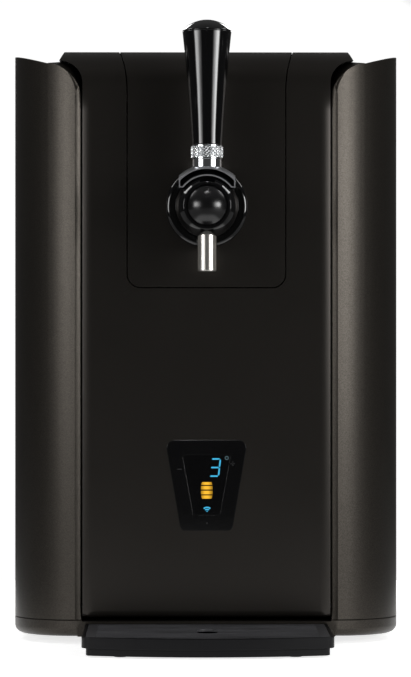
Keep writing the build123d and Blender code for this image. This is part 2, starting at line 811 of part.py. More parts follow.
guard_ear = fan_hole_pitch / sqrt(2)
guard_rings = int((fan_bore - fan_hub_radius) / guard_ring_pitch)

with BuildPart() as fan_guard:
    with BuildSketch(at_y(back_face_y)):
        with Locations((0, cooler_z)):
            for ring in range(guard_rings + 1):
                radius = fan_hub_radius + ring * guard_ring_pitch
                Circle(radius + guard_wire / 2)
                Circle(radius - guard_wire / 2, mode=Mode.SUBTRACT)
            with PolarLocations((guard_ear + fan_hub_radius) / 2, 4, start_angle=45):
                Rectangle(guard_ear - fan_hub_radius, 2 * guard_wire)
            with GridLocations(fan_hole_pitch, fan_hole_pitch, 2, 2):
                Circle(2 * screw_head_radius)
                Circle(screw_radius, mode=Mode.SUBTRACT)
    extrude(amount=-guard_wire)
fan_guard.part.label = "fan_guard"
export_step(fan_guard.part, "parts/fan_guard.step")

# ------------------------------------------------------------------ front door
with BuildPart() as door_space:
    extrude(door_side(wall, door_bottom_z + wall), amount=beyond, both=True)
    extrude(core_hollow(door_bottom_z + wall), amount=beyond, both=True, mode=Mode.INTERSECT)
    extrude(lid_front(lid_gap + wall), amount=beyond, both=True, mode=Mode.SUBTRACT)
    # solid lower corners carry the hinge pins
    for side in (-1, 1):
        block((side * (door_half_width - hinge_pin_length), side * door_half_width),
              (door_face_y, gasket_front_y), (door_bottom_z, door_axis_z + 2 * hinge_pin_radius),
              mode=Mode.SUBTRACT)

display_hole = trapezoid(
    bezel_top_z - bezel_flange, bezel_low_z + bezel_flange, bezel_top_half - bezel_flange,
    bezel_low_half - bezel_flange, bezel_top_radius - bezel_flange, bezel_low_radius - bezel_flange,
    door_back_y,
)

with BuildPart() as front_door:
    extrude(door_side(0, door_bottom_z), amount=beyond, both=True)
    extrude(core_front(door_bottom_z, door_back_y), amount=2 * door_depth, mode=Mode.INTERSECT)
    face_edges = front_door.faces().filter_by(Plane.XZ).sort_by(Axis.Y)[0].edges()
    fillet(face_edges.filter_by(Axis.X).sort_by(Axis.Z)[0], door_lip_radius)
    extrude(lid_front(lid_gap), amount=beyond, both=True, mode=Mode.SUBTRACT)
    add(door_space.part, mode=Mode.SUBTRACT)
    block((-door_half_width, door_half_width), (door_face_y + door_foot_depth, door_back_y),
          (door_bottom_z, door_step_z), mode=Mode.SUBTRACT)
    for side in (-1, 1):
        block((side * window_half, side * door_half_width), (gasket_front_y, door_back_y),
              (door_bottom_z, cover_z), mode=Mode.SUBTRACT)
    bar(hinge_pin_radius + pin_clearance, (0, door_axis_y, door_axis_z), 2 * door_half_width, "X",
        mode=Mode.SUBTRACT)
    extrude(display_hole, amount=2 * door_depth, mode=Mode.SUBTRACT)
front_door.part.label = "front_door"
export_step(front_door.part, "parts/front_door.step")

with BuildPart() as door_liner:
    add(door_space.part)
    block((-beyond, beyond), (door_liner_y, gasket_front_y), (door_step_z, crown_z), mode=Mode.INTERSECT)
door_liner.part.label = "door_liner"
export_step(door_liner.part, "parts/door_liner.step")

with BuildPart() as door_foam:
    add(door_space.part)
    block((-beyond, beyond), (door_face_y, door_liner_y), (0, 2 * crown_z), mode=Mode.INTERSECT)
    block((-bezel_top_half - wall, bezel_top_half + wall), (door_face_y, door_liner_y),
          (bezel_low_z - wall, bezel_top_z + wall), mode=Mode.SUBTRACT)
    for x in (-magnet_x, magnet_x):
        bar(magnet_radius, (x, door_liner_y, magnet_z), 2 * magnet_thickness, "Y", mode=Mode.SUBTRACT)
door_foam.part.label = "door_foam"
export_step(door_foam.part, "parts/door_foam.step")

with BuildPart() as door_magnets:
    for x in (-magnet_x, magnet_x):
        bar(magnet_radius, (x, door_liner_y - magnet_thickness / 2, magnet_z), magnet_thickness, "Y")
door_magnets.part.label = "door_magnets"
export_step(door_magnets.part, "parts/door_magnets.step")

gasket_outer_half = door_half_width - fit
gasket_inner_half = gasket_outer_half - gasket_width

with BuildPart() as door_gasket:
    block((-gasket_outer_half, gasket_outer_half), (gasket_front_y, gasket_front_y + gasket_thickness),
          (chamber_floor_z - gasket_width, cover_z))
    block((-gasket_inner_half, gasket_inner_half), (gasket_front_y, gasket_front_y + gasket_thickness),
          (chamber_floor_z, cover_z), mode=Mode.SUBTRACT)
door_gasket.part.label = "door_gasket"
export_step(door_gasket.part, "parts/door_gasket.step")

with BuildPart() as door_hinge_pins:
    for side in (-1, 1):
        bar(hinge_pin_radius, (side * (hinge_pin_out + door_half_width - hinge_pin_length) / 2,
                               door_axis_y, door_axis_z),
            hinge_pin_out - door_half_width + hinge_pin_length, "X")
door_hinge_pins.part.label = "door_hinge_pins"
export_step(door_hinge_pins.part, "parts/door_hinge_pins.step")

with BuildPart() as door_hinge_brackets:
    for side in (-1, 1):
        block((side * hinge_bracket_x, side * hinge_pin_out),
              (door_axis_y, door_axis_y + hinge_bracket_depth), (hollow_z, door_axis_z))
        bar(hinge_boss_radius,
            (side * (hinge_pin_out - hinge_bracket_width / 2), door_axis_y, door_axis_z),
            hinge_bracket_width, "X")
        bar(hinge_pin_radius, (side * hinge_pin_out, door_axis_y, door_axis_z), 4 * hinge_bracket_width, "X",
            mode=Mode.SUBTRACT)
door_hinge_brackets.part.label = "door_hinge_brackets"
export_step(door_hinge_brackets.part, "parts/door_hinge_brackets.step")

# ------------------------------------------------------------------ display in the door
display_window_outline = (
    window_top_z, window_low_z, window_top_half, window_low_half, window_radius, window_radius,
)

with BuildPart() as display_bezel:
    extrude(
        trapezoid(bezel_top_z, bezel_low_z, bezel_top_half, bezel_low_half, bezel_top_radius,
                  bezel_low_radius, door_face_y),
        amount=bezel_proud,
    )
    extrude(
        trapezoid(
            bezel_top_z - bezel_flange - fit, bezel_low_z + bezel_flange + fit,
            bezel_top_half - bezel_flange - fit, bezel_low_half - bezel_flange - fit,
            bezel_top_radius - bezel_flange, bezel_low_radius - bezel_flange, door_face_y,
        ),
        amount=-2 * wall,
    )
    extrude(trapezoid(*display_window_outline, door_back_y), amount=2 * door_depth, mode=Mode.SUBTRACT)
    fillet(display_bezel.faces().sort_by(Axis.Y)[0].outer_wire().edges(), bezel_proud / 2)
display_bezel.part.label = "display_bezel"
export_step(display_bezel.part, "parts/display_bezel.step")

with BuildPart() as display_window:
    extrude(trapezoid(*display_window_outline, door_face_y + wall), amount=wall + bezel_proud / 2)
display_window.part.label = "display_window"
export_step(display_window.part, "parts/display_window.step")

with BuildPart() as display_board:
    display_board_y = door_face_y + 2 * wall
    block((-bezel_low_half, bezel_low_half), (display_board_y, display_board_y + board_thickness),
          (bezel_low_z, bezel_top_z))
    block((-window_low_half, window_low_half), (display_board_y - wall, display_board_y),
          (window_low_z + wall, window_top_z))
    block((-bezel_low_half / 2, bezel_low_half / 2),
          (display_board_y + board_thickness, display_board_y + 2 * wall),
          (bezel_low_z + wall, window_low_z + 2 * wall))
display_board.part.label = "display_board"
export_step(display_board.part, "parts/display_board.step")

# ------------------------------------------------------------------ lid
lid_mouth_y = door_face_y + apron_depth
lid_inner_y = lid_mouth_y - lid_liner_thickness
lid_inner_z = strip_under_z + lid_liner_thickness
tap_back_y = lid_mouth_y + wall

with BuildPart() as lid_space:
    extrude(lid_side(wall, lid_mouth_y + wall, strip_under_z - wall, False), amount=beyond, both=True)
    extrude(lid_front(-wall), amount=beyond, both=True, mode=Mode.INTERSECT)

with BuildPart() as lid_shell:
    extrude(lid_side(0, lid_mouth_y, strip_under_z, True), amount=beyond, both=True)
    extrude(lid_front(0), amount=beyond, both=True, mode=Mode.INTERSECT)
    add(lid_space.part, mode=Mode.SUBTRACT)
    bar(stem_radius, (0, door_face_y, tap_z), 2 * apron_depth, "Y", mode=Mode.SUBTRACT)
    bar(hinge_pin_radius + pin_clearance, (0, lid_hinge_y, lid_hinge_z), 2 * lid_pin_end, "X",
        mode=Mode.SUBTRACT)
lid_shell.part.label = "lid_shell"
export_step(lid_shell.part, "parts/lid_shell.step")

with BuildPart() as lid_liner:
    add(lid_space.part)
    block((-beyond, beyond), (lid_inner_y, beyond), (0, lid_inner_z), mode=Mode.INTERSECT)
    block((-beyond, beyond), (lid_mouth_y, beyond), (0, strip_under_z), mode=Mode.SUBTRACT)
    bar(stem_radius, (0, door_face_y, tap_z), 4 * apron_depth, "Y", mode=Mode.SUBTRACT)
lid_liner.part.label = "lid_liner"
export_step(lid_liner.part, "parts/lid_liner.step")

with BuildPart() as lid_foam:
    add(lid_space.part)
    block((-beyond, beyond), (lid_inner_y, beyond), (0, lid_inner_z), mode=Mode.SUBTRACT)
    bar(stem_radius, (0, door_face_y, tap_z), 4 * apron_depth, "Y", mode=Mode.SUBTRACT)
lid_foam.part.label = "lid_foam"
export_step(lid_foam.part, "parts/lid_foam.step")

with BuildPart() as lid_hinge_pins:
    for side in (-1, 1):
        bar(hinge_pin_radius, (side * (lid_pin_end - hinge_pin_length / 2), lid_hinge_y, lid_hinge_z),
            hinge_pin_length, "X")
lid_hinge_pins.part.label = "lid_hinge_pins"
export_step(lid_hinge_pins.part, "parts/lid_hinge_pins.step")

# ------------------------------------------------------------------ tap, in a plane at its pivot
tap_plane = Plane(origin=(0, tap_y, tap_z), x_dir=(1, 0, 0), z_dir=(0, -1, 0))
drum_length = door_face_y - drum_front_y

with BuildPart() as tap_drum:
    bar(drum_radius, (0, (door_face_y + drum_front_y) / 2, tap_z), drum_length, "Y")
    fillet(tap_drum.edges().sort_by(Axis.Y)[0], wall)
    bar(drum_bore, (0, (door_face_y + drum_front_y) / 2 - wall, tap_z), drum_length, "Y", mode=Mode.SUBTRACT)
    block((-hood_half_width - seam_gap, hood_half_width + seam_gap),
          (drum_front_y, tap_y + hood_half_depth + seam_gap), (tap_z + hood_low_z - seam_gap, handle_low_z),
          mode=Mode.SUBTRACT)
    bar(stem_radius, (0, door_face_y, tap_z), 4 * wall, "Y", mode=Mode.SUBTRACT)
    # split line on each side, level with the pivot
    for side in (-1, 1):
        block((side * (drum_radius - seam_gap), side * 2 * drum_radius), (drum_front_y, door_face_y - wall),
              (tap_z - seam_gap / 2, tap_z + seam_gap / 2), mode=Mode.SUBTRACT)
tap_drum.part.label = "tap_drum"
export_step(tap_drum.part, "parts/tap_drum.step")

with BuildPart(tap_plane) as tap_body:
    Sphere(ball_radius)
    with Locations((0, 0, ball_front)):
        Box(2 * ball_radius, 2 * ball_radius, 2 * ball_radius, mode=Mode.SUBTRACT,
            align=(Align.CENTER, Align.CENTER, Align.MIN))
    stem_length = tap_back_y - tap_y
    Cylinder(stem_radius, stem_length, align=(Align.CENTER, Align.CENTER, Align.MAX))
    # slot for the lever's web and hub, open at the top and front
    with Locations((0, 0, -hub_radius - seam_gap)):
        Box(2 * (web_half_width + fit), ball_radius, 2 * ball_radius, mode=Mode.SUBTRACT,
            align=(Align.CENTER, Align.MIN, Align.MIN))
    Cylinder(hub_radius + seam_gap, 2 * (web_half_width + fit), rotation=(0, 90, 0), mode=Mode.SUBTRACT)
    Cylinder(pivot_pin_radius, 2 * ball_radius, rotation=(0, 90, 0), mode=Mode.SUBTRACT)
    # beer way: up from the spout, then aslant into the stem
    with Locations((0, -ball_radius, spout_forward)):
        Cylinder(spout_radius, 2 * spout_socket, rotation=(90, 0, 0), mode=Mode.SUBTRACT)
    slant = ball_radius - spout_socket
    with Locations((0, -slant / 2, spout_forward - slant / 2)):
        Cylinder(beer_bore, slant * sqrt(2), rotation=(45, 0, 0), mode=Mode.SUBTRACT)
    with Locations((0, 0, spout_forward - slant + beer_bore)):
        Cylinder(beer_bore, 2 * stem_length, mode=Mode.SUBTRACT,
                 align=(Align.CENTER, Align.CENTER, Align.MAX))
tap_body.part.label = "tap_body"
export_step(tap_body.part, "parts/tap_body.step")

with BuildPart(tap_plane) as tap_nut:
    with Locations((0, 0, tap_y - lid_mouth_y)):
        Cylinder(stem_radius + 2 * wall, wall, align=(Align.CENTER, Align.CENTER, Align.MAX))
    Cylinder(stem_radius, 8 * apron_depth, mode=Mode.SUBTRACT)
tap_nut.part.label = "tap_nut"
export_step(tap_nut.part, "parts/tap_nut.step")

with BuildPart(tap_plane) as tap_ring:
    with Locations((0, 0, ball_front)):
        Cylinder(ring_radius, ring_thickness, align=(Align.CENTER, Align.CENTER, Align.MIN))
    fillet(tap_ring.edges().sort_by(Axis.Y)[0], seam_gap)
    Cylinder(dome_radius + fit, 4 * ball_radius, mode=Mode.SUBTRACT)
tap_ring.part.label = "tap_ring"
export_step(tap_ring.part, "parts/tap_ring.step")

dome_curve = (dome_radius**2 + dome_height**2) / (2 * dome_height)

with BuildPart(tap_plane) as tap_dome:
    with Locations((0, 0, ball_front)):
        Cylinder(dome_radius, ring_thickness + dome_height, align=(Align.CENTER, Align.CENTER, Align.MIN))
    with Locations((0, 0, ball_front + ring_thickness - dome_sink + dome_height - dome_curve)):
        Sphere(dome_curve, mode=Mode.INTERSECT)
tap_dome.part.label = "tap_dome"
export_step(tap_dome.part, "parts/tap_dome.step")

with BuildPart() as spout:
    spout_place = (0, tap_y - spout_forward)
    with BuildSketch(Plane.XY.offset(spout_end_z)):
        with Locations(spout_place):
            Circle(spout_radius)
            Circle(spout_bore, mode=Mode.SUBTRACT)
    extrude(amount=tap_z - ball_radius + spout_socket - spout_end_z)
    chamfer(spout.faces().sort_by(Axis.Z)[0].edges(), seam_gap)
spout.part.label = "spout"
export_step(spout.part, "parts/spout.step")

# ------------------------------------------------------------------ tap lever and handle
# space between the hood's outer and inner walls, open in front
with BuildPart() as hood_pocket:
    Sphere(hood_outer_radius - hood_wall)
    Sphere(hood_inner_radius + hood_wall, mode=Mode.SUBTRACT)
    with Locations((0, hood_low_z + hood_wall, 2 * hood_wall)):
        Box(2 * (hood_half_width - hood_wall), hood_outer_radius, 2 * hood_half_depth, mode=Mode.INTERSECT,
            align=(Align.CENTER, Align.MIN, Align.CENTER))

with BuildPart(tap_plane) as tap_lever:
    Sphere(hood_outer_radius)
    Sphere(hood_inner_radius, mode=Mode.SUBTRACT)
    with Locations((0, hood_low_z, 0)):
        Box(2 * hood_half_width, hood_outer_radius, 2 * hood_half_depth, mode=Mode.INTERSECT,
            align=(Align.CENTER, Align.MIN, Align.CENTER))
    add(hood_pocket.part, mode=Mode.SUBTRACT)
    # boss for the stud
    with Locations((0, hood_inner_radius + hood_wall / 2, 0)):
        Cylinder(2 * stud_radius, hood_outer_radius - hood_inner_radius - hood_wall, rotation=(-90, 0, 0),
                 align=(Align.CENTER, Align.CENTER, Align.MIN))
    # web down to the hub on the pivot pin
    Box(2 * web_half_width, hood_inner_radius + seam_gap, 2 * web_half_depth,
        align=(Align.CENTER, Align.MIN, Align.CENTER))
    Cylinder(hub_radius, 2 * web_half_width, rotation=(0, 90, 0))
    Cylinder(pivot_pin_radius + pin_clearance, 4 * web_half_width, rotation=(0, 90, 0), mode=Mode.SUBTRACT)
    with Locations((0, stud_low, 0)):
        Cylinder(stud_radius, hood_outer_radius, rotation=(-90, 0, 0), mode=Mode.SUBTRACT,
                 align=(Align.CENTER, Align.CENTER, Align.MIN))
tap_lever.part.label = "tap_lever"
export_step(tap_lever.part, "parts/tap_lever.step")

with BuildPart(tap_plane) as lever_pin:
    Cylinder(pivot_pin_radius, 2 * pivot_pin_half, rotation=(0, 90, 0))
lever_pin.part.label = "lever_pin"
export_step(lever_pin.part, "parts/lever_pin.step")

handle_axis = Axis((0, tap_y, 0), (0, 0, 1))

with BuildPart() as handle_stud:
    bar(stud_radius, (0, tap_y, (tap_z + stud_low + stud_top_z) / 2), stud_top_z - tap_z - stud_low, "Z")
handle_stud.part.label = "handle_stud"
export_step(handle_stud.part, "parts/handle_stud.step")

with BuildPart() as handle_neck:
    bar(neck_radius, (0, tap_y, neck_low_z), 2 * neck_height, "Z")
    fillet(handle_neck.edges().sort_by(Axis.Z)[-1], seam_gap)
    with Locations((0, tap_y, tap_z)):
        Sphere(hood_outer_radius, mode=Mode.SUBTRACT)
    bar(stud_radius, (0, tap_y, neck_low_z), 4 * neck_height, "Z", mode=Mode.SUBTRACT)
handle_neck.part.label = "handle_neck"
export_step(handle_neck.part, "parts/handle_neck.step")

with BuildPart() as lock_collar:
    collar_z = (collar_low_z + handle_low_z) / 2
    bar(collar_radius, (0, tap_y, collar_z), collar_height, "Z")
    chamfer(lock_collar.edges().filter_by(GeomType.CIRCLE), seam_gap)
    bar(stud_radius + pin_clearance, (0, tap_y, collar_z), 2 * collar_height, "Z", mode=Mode.SUBTRACT)
    with Locations((0, tap_y, collar_z)):
        with PolarLocations(collar_radius + knurl_radius / 2, knurl_count):
            Cylinder(knurl_radius, 2 * collar_height, mode=Mode.SUBTRACT)
lock_collar.part.label = "lock_collar"
export_step(lock_collar.part, "parts/lock_collar.step")

with BuildPart() as tap_handle:
    with BuildSketch(at_y(tap_y)):
        with BuildLine():
            Line((stud_radius, handle_low_z), (handle_low_radius, handle_low_z))
            ThreePointArc(
                (handle_low_radius, handle_low_z),
                ((handle_low_radius + handle_top_radius) / 2 - handle_hollow,
                 (handle_low_z + handle_top_z) / 2),
                (handle_top_radius, handle_top_z),
            )
            Polyline((handle_top_radius, handle_top_z), (0, handle_top_z), (0, stud_top_z),
                     (stud_radius, stud_top_z), (stud_radius, handle_low_z))
        make_face()
    revolve(axis=handle_axis)
tap_handle.part.label = "tap_handle"
export_step(tap_handle.part, "parts/tap_handle.step")

cap_rise = cap_height - cap_rim
cap_curve = (handle_top_radius**2 + cap_rise**2) / (2 * cap_rise)
cap_angle = degrees(acos(handle_top_radius / cap_curve))

with BuildPart() as handle_cap:
    with BuildSketch(at_y(tap_y)):
        with BuildLine():
            Polyline((0, handle_top_z), (handle_top_radius, handle_top_z),
                     (handle_top_radius, handle_top_z + cap_rim))
            CenterArc((0, handle_top_z + cap_height - cap_curve), cap_curve, cap_angle, 90 - cap_angle)
            Line((0, handle_top_z + cap_height), (0, handle_top_z))
        make_face()
    revolve(axis=handle_axis)
    rim_z = handle_top_z + cap_rim
    fillet(handle_cap.edges().filter_by_position(Axis.Z, rim_z - seam_gap, rim_z + seam_gap), cap_edge_radius)
handle_cap.part.label = "handle_cap"
export_step(handle_cap.part, "parts/handle_cap.step")


# ------------------------------------------------------------------ drip tray and its plate
def tray_plan(inset, z):
    """Drip tray seen from above, bowed at the front, its edge moved in by inset."""
    half = tray_half_width - inset
    front_y = tray_front_y + inset
    with BuildSketch(Plane.XY.offset(z)) as plan:
        with BuildLine():
            Polyline(
                (-half, front_y + tray_bow), (-half, tray_back_y - inset),
                (half, tray_back_y - inset), (half, front_y + tray_bow),
            )
            ThreePointArc((half, front_y + tray_bow), (0, front_y), (-half, front_y + tray_bow))
        make_face()
        fillet(plan.vertices().group_by(Axis.Y)[0], tray_corner_radius - inset)
    return plan.sketch


rim_low_z = tray_top_z - tray_rim_height
plate_z = tray_top_z - plate_thickness

with BuildPart() as drip_tray:
    extrude(tray_plan(tray_step, tray_floor_z), amount=rim_low_z - tray_floor_z)
    extrude(tray_plan(0, rim_low_z), amount=tray_rim_height)
    fillet(drip_tray.faces().sort_by(Axis.Z)[-1].edges(), seam_gap)
    extrude(tray_plan(tray_wall, plate_z), amount=plate_thickness, mode=Mode.SUBTRACT)
    extrude(tray_plan(tray_step + tray_wall, tray_floor_z + tray_wall), amount=tray_top_z, mode=Mode.SUBTRACT)
    block((-tray_tongue_half, tray_tongue_half), (tray_back_y - tray_wall, tongue_back_y),
          (tray_tongue_z, tray_tongue_z + tray_tongue_thickness))
drip_tray.part.label = "drip_tray"
export_step(drip_tray.part, "parts/drip_tray.step")

with BuildPart() as tray_pads:
    pad_y = (tray_front_y + tray_bow + foot_radius, tray_back_y - 2 * foot_radius)
    for x in (-tray_half_width + 3 * foot_radius, tray_half_width - 3 * foot_radius):
        for y in pad_y:
            bar(foot_radius / 2, (x, y, tray_floor_z / 2), tray_floor_z, "Z")
tray_pads.part.label = "tray_pads"
export_step(tray_pads.part, "parts/tray_pads.step")

with BuildPart() as drip_plate:
    extrude(tray_plan(tray_wall + fit, plate_z + seat_gap), amount=plate_thickness - seat_gap)
    plate_mid_y = (tray_front_y + tray_back_y) / 2
    groove_count = int((tray_reach - 4 * tray_wall) / plate_pitch)
    with Locations((0, plate_mid_y, tray_top_z)):
        with GridLocations(1, plate_pitch, 1, groove_count):
            Box(2 * tray_half_width - 8 * tray_wall, plate_pitch / 2, 2 * plate_groove, mode=Mode.SUBTRACT)
    with BuildSketch(Plane.XY.offset(tray_top_z)):
        with Locations((0, plate_mid_y)):
            SlotOverall(drain_length, drain_width, rotation=90)
    extrude(amount=-2 * plate_thickness, mode=Mode.SUBTRACT)
drip_plate.part.label = "drip_plate"
export_step(drip_plate.part, "parts/drip_plate.step")

# ------------------------------------------------------------------ chamber fittings and air supply
with BuildPart() as temperature_sensor:
    sensor_front_y = chamber_back_y - sensor_tip
    sensor_back_y = foam_back_y + sensor_tip
    bar(sensor_radius, (sensor_x, (sensor_front_y + sensor_back_y) / 2, sensor_z),
        sensor_back_y - sensor_front_y, "Y")
    fillet(temperature_sensor.edges().sort_by(Axis.Y)[0], sensor_radius / 2)
temperature_sensor.part.label = "temperature_sensor"
export_step(temperature_sensor.part, "parts/temperature_sensor.step")

with BuildPart() as air_coupler:
    bar(coupler_radius, (0, chamber_back_y - coupler_length / 2, coupler_z), coupler_length, "Y")
    bar(coupler_flange, (0, chamber_back_y - wall / 2, coupler_z), wall, "Y")
    chamfer(air_coupler.edges().sort_by(Axis.Y)[0], seam_gap)
    bar(coupler_bore, (0, chamber_back_y, coupler_z), 4 * coupler_length, "Y", mode=Mode.SUBTRACT)
air_coupler.part.label = "air_coupler"
export_step(air_coupler.part, "parts/air_coupler.step")

hose_y = foam_back_y + hose_stand_off
pump_z = hollow_z + pump_radius
outlet_top_z = pump_z + pump_radius + pump_outlet_length

with BuildPart() as air_pump:
    block((pump_x - pump_radius, pump_x + pump_radius), (hose_y - pump_head / 2, hose_y + pump_head / 2),
          (hollow_z, pump_z + pump_radius))
    fillet(air_pump.edges().filter_by(Axis.Y), wall)
    bar(pump_radius - fit, (pump_x, hose_y + (pump_head + pump_length) / 2, pump_z), pump_length, "Y")
    bar(hose_radius, (pump_x, hose_y, outlet_top_z - pump_outlet_length), 2 * pump_outlet_length, "Z")
air_pump.part.label = "air_pump"
export_step(air_pump.part, "parts/air_pump.step")

with BuildPart() as air_hose:
    with BuildLine() as hose_route:
        FilletPolyline(
            (pump_x, hose_y, outlet_top_z), (pump_x, hose_y, coupler_z), (0, hose_y, coupler_z),
            (0, chamber_back_y, coupler_z), radius=[hose_side_bend, hose_end_bend],
        )
    with BuildSketch(Plane.XY.offset(outlet_top_z)):
        with Locations((pump_x, hose_y)):
            Circle(hose_radius)
    sweep(path=hose_route.line)
air_hose.part.label = "air_hose"
export_step(air_hose.part, "parts/air_hose.step")

# ------------------------------------------------------------------ power supply and control board
with BuildPart() as power_supply:
    supply_front_y = foam_back_y + supply_gap
    block((power_x - supply_width / 2, power_x + supply_width / 2),
          (supply_front_y, supply_front_y + supply_depth), (hollow_z, hollow_z + supply_height))
    chamfer(power_supply.edges().filter_by(Axis.Y), seam_gap)
    with Locations((power_x, supply_front_y + supply_depth / 2, hollow_z + supply_height)):
        with GridLocations(1, supply_slot_pitch, 1, supply_slots):
            Box(supply_width / 2, supply_slot_pitch / 2, 2 * seam_gap, mode=Mode.SUBTRACT)
power_supply.part.label = "power_supply"
export_step(power_supply.part, "parts/power_supply.step")

board_x = liner_half + foam_thickness + board_standoff
board_places = [
    (y, z)
    for y in (board_y + board_inset, board_y + board_length - board_inset)
    for z in (board_z + board_inset, board_z + board_height - board_inset)
]

with BuildPart() as board_standoffs:
    for y, z in board_places:
        bar(spacer_radius, (board_x - board_standoff / 2, y, z), board_standoff, "X")
board_standoffs.part.label = "board_standoffs"
export_step(board_standoffs.part, "parts/board_standoffs.step")

with BuildPart() as control_board:
    block((board_x, board_x + board_thickness), (board_y, board_y + board_length),
          (board_z, board_z + board_height))
    chip_x = board_x + board_thickness
    mid_y = board_y + board_length / 2
    mid_z = board_z + board_height / 2
    block((board_x, chip_x + relay_height), (mid_y + board_inset, mid_y + board_inset + relay_size),
          (mid_z, mid_z + relay_size))
    block((board_x, chip_x + board_inset / 2), (board_y + 2 * board_inset, mid_y - board_inset),
          (mid_z - relay_size / 2, mid_z + relay_size / 2))
    for y in (mid_y - relay_size, mid_y, mid_y + relay_size):
        bar(capacitor_radius, (chip_x + capacitor_radius - seam_gap, y, board_z + 2 * board_inset),
            capacitor_length, "Z")
control_board.part.label = "control_board"
export_step(control_board.part, "parts/control_board.step")

# ------------------------------------------------------------------ power inlet and switch
inlet_pin_length = inlet_depth / 2

with BuildPart() as power_inlet:
    with BuildSketch(at_y(back_face_y)):
        with Locations((power_x, power_z)):
            RectangleRounded(inlet_flange_width, inlet_flange_height, wall)
    extrude(amount=-inlet_flange)
    with BuildSketch(at_y(back_face_y)):
        with Locations((power_x, power_z)):
            RectangleRounded(inlet_width, inlet_height, wall)
    extrude(amount=inlet_depth)
    with BuildSketch(at_y(back_face_y + inlet_flange)):
        with Locations((power_x, power_z)):
            RectangleRounded(inlet_width - 2 * switch_wall, inlet_height - 2 * switch_wall, switch_wall)
    extrude(amount=inlet_depth - wall, mode=Mode.SUBTRACT)
    for side in (-1, 0, 1):
        x = side * blade_pin_pitch
        z = blade_thickness if side == 0 else -blade_thickness
        block((power_x + x - blade_thickness / 2, power_x + x + blade_thickness / 2),
              (back_face_y - inlet_depth, back_face_y - inlet_depth + inlet_pin_length + wall),
              (power_z + z - wall / 2, power_z + z + wall / 2))
power_inlet.part.label = "power_inlet"
export_step(power_inlet.part, "parts/power_inlet.step")

rim_y = back_face_y + switch_rim
rocker_y = rim_y - rocker_depth
rocker_half_width = switch_width / 2 - switch_wall - fit
rocker_half_height = switch_height / 2 - switch_wall - 2 * rocker_gap

with BuildPart() as switch_housing:
    block((switch_x - switch_width / 2 - wall, switch_x + switch_width / 2 + wall), (back_face_y, rim_y),
          (power_z - switch_height / 2 - wall, power_z + switch_height / 2 + wall))
    block((switch_x - switch_width / 2, switch_x + switch_width / 2), (back_face_y - switch_depth, rim_y),
          (power_z - switch_height / 2, power_z + switch_height / 2))
    block((switch_x - switch_width / 2 + switch_wall, switch_x + switch_width / 2 - switch_wall),
          (back_face_y - switch_depth + wall, rim_y),
          (power_z - switch_height / 2 + switch_wall, power_z + switch_height / 2 - switch_wall),
          mode=Mode.SUBTRACT)
    bar(rocker_pin_radius + pin_clearance, (switch_x, rocker_y, power_z), 2 * switch_width, "X",
        mode=Mode.SUBTRACT)
switch_housing.part.label = "switch_housing"
export_step(switch_housing.part, "parts/switch_housing.step")

with BuildPart() as power_rocker:
    with BuildSketch(Plane.YZ.offset(switch_x)):
        with BuildLine():
            Polyline(
                (rocker_y, power_z - rocker_half_height),
                (rocker_y + rocker_low, power_z - rocker_half_height),
                (rocker_y + rocker_low, power_z),
                (rocker_y + rocker_high, power_z + rocker_half_height),
                (rocker_y, power_z + rocker_half_height),
                close=True,
            )
        make_face()
        with Locations((rocker_y, power_z)):
            Circle(rocker_hub_radius)
    extrude(amount=rocker_half_width, both=True)
    bar(rocker_pin_radius, (switch_x, rocker_y, power_z), 2 * (rocker_half_width + switch_wall), "X")
power_rocker.part.label = "power_rocker"
export_step(power_rocker.part, "parts/power_rocker.step")

# ------------------------------------------------------------------ screws at the back
with BuildPart() as rear_panel_screws:
    for x, z in panel_screw_places:
        bar(screw_head_radius, (x, back_face_y + screw_head_height / 2, z), screw_head_height, "Y")
        bar(screw_radius, (x, back_face_y - screw_length / 2, z), screw_length, "Y")
rear_panel_screws.part.label = "rear_panel_screws"
export_step(rear_panel_screws.part, "parts/rear_panel_screws.step")

with BuildPart() as fan_screws:
    guard_face_y = back_face_y + guard_wire
    for x in (-fan_hole_pitch / 2, fan_hole_pitch / 2):
        for z in (cooler_z - fan_hole_pitch / 2, cooler_z + fan_hole_pitch / 2):
            bar(screw_head_radius, (x, guard_face_y + screw_head_height / 2, z), screw_head_height, "Y")
            bar(screw_radius, (x, guard_face_y - screw_length, z), 2 * screw_length, "Y")
fan_screws.part.label = "fan_screws"
export_step(fan_screws.part, "parts/fan_screws.step")
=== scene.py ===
from math import atan2, cos, hypot, pi, radians, sin, sqrt

import bmesh
import bpy
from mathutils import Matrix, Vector


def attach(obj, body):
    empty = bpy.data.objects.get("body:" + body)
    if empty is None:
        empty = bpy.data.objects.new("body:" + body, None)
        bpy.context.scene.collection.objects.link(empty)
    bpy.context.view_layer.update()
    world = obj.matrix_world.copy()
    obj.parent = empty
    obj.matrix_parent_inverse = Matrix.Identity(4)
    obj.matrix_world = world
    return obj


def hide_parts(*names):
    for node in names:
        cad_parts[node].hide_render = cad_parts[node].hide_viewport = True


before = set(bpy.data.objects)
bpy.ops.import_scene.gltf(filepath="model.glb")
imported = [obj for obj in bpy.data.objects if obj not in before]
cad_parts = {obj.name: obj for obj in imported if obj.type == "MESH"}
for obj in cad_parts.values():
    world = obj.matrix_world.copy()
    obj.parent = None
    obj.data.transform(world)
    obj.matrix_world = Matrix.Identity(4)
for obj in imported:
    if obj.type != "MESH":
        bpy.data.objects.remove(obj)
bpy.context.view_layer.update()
scene = bpy.context.scene


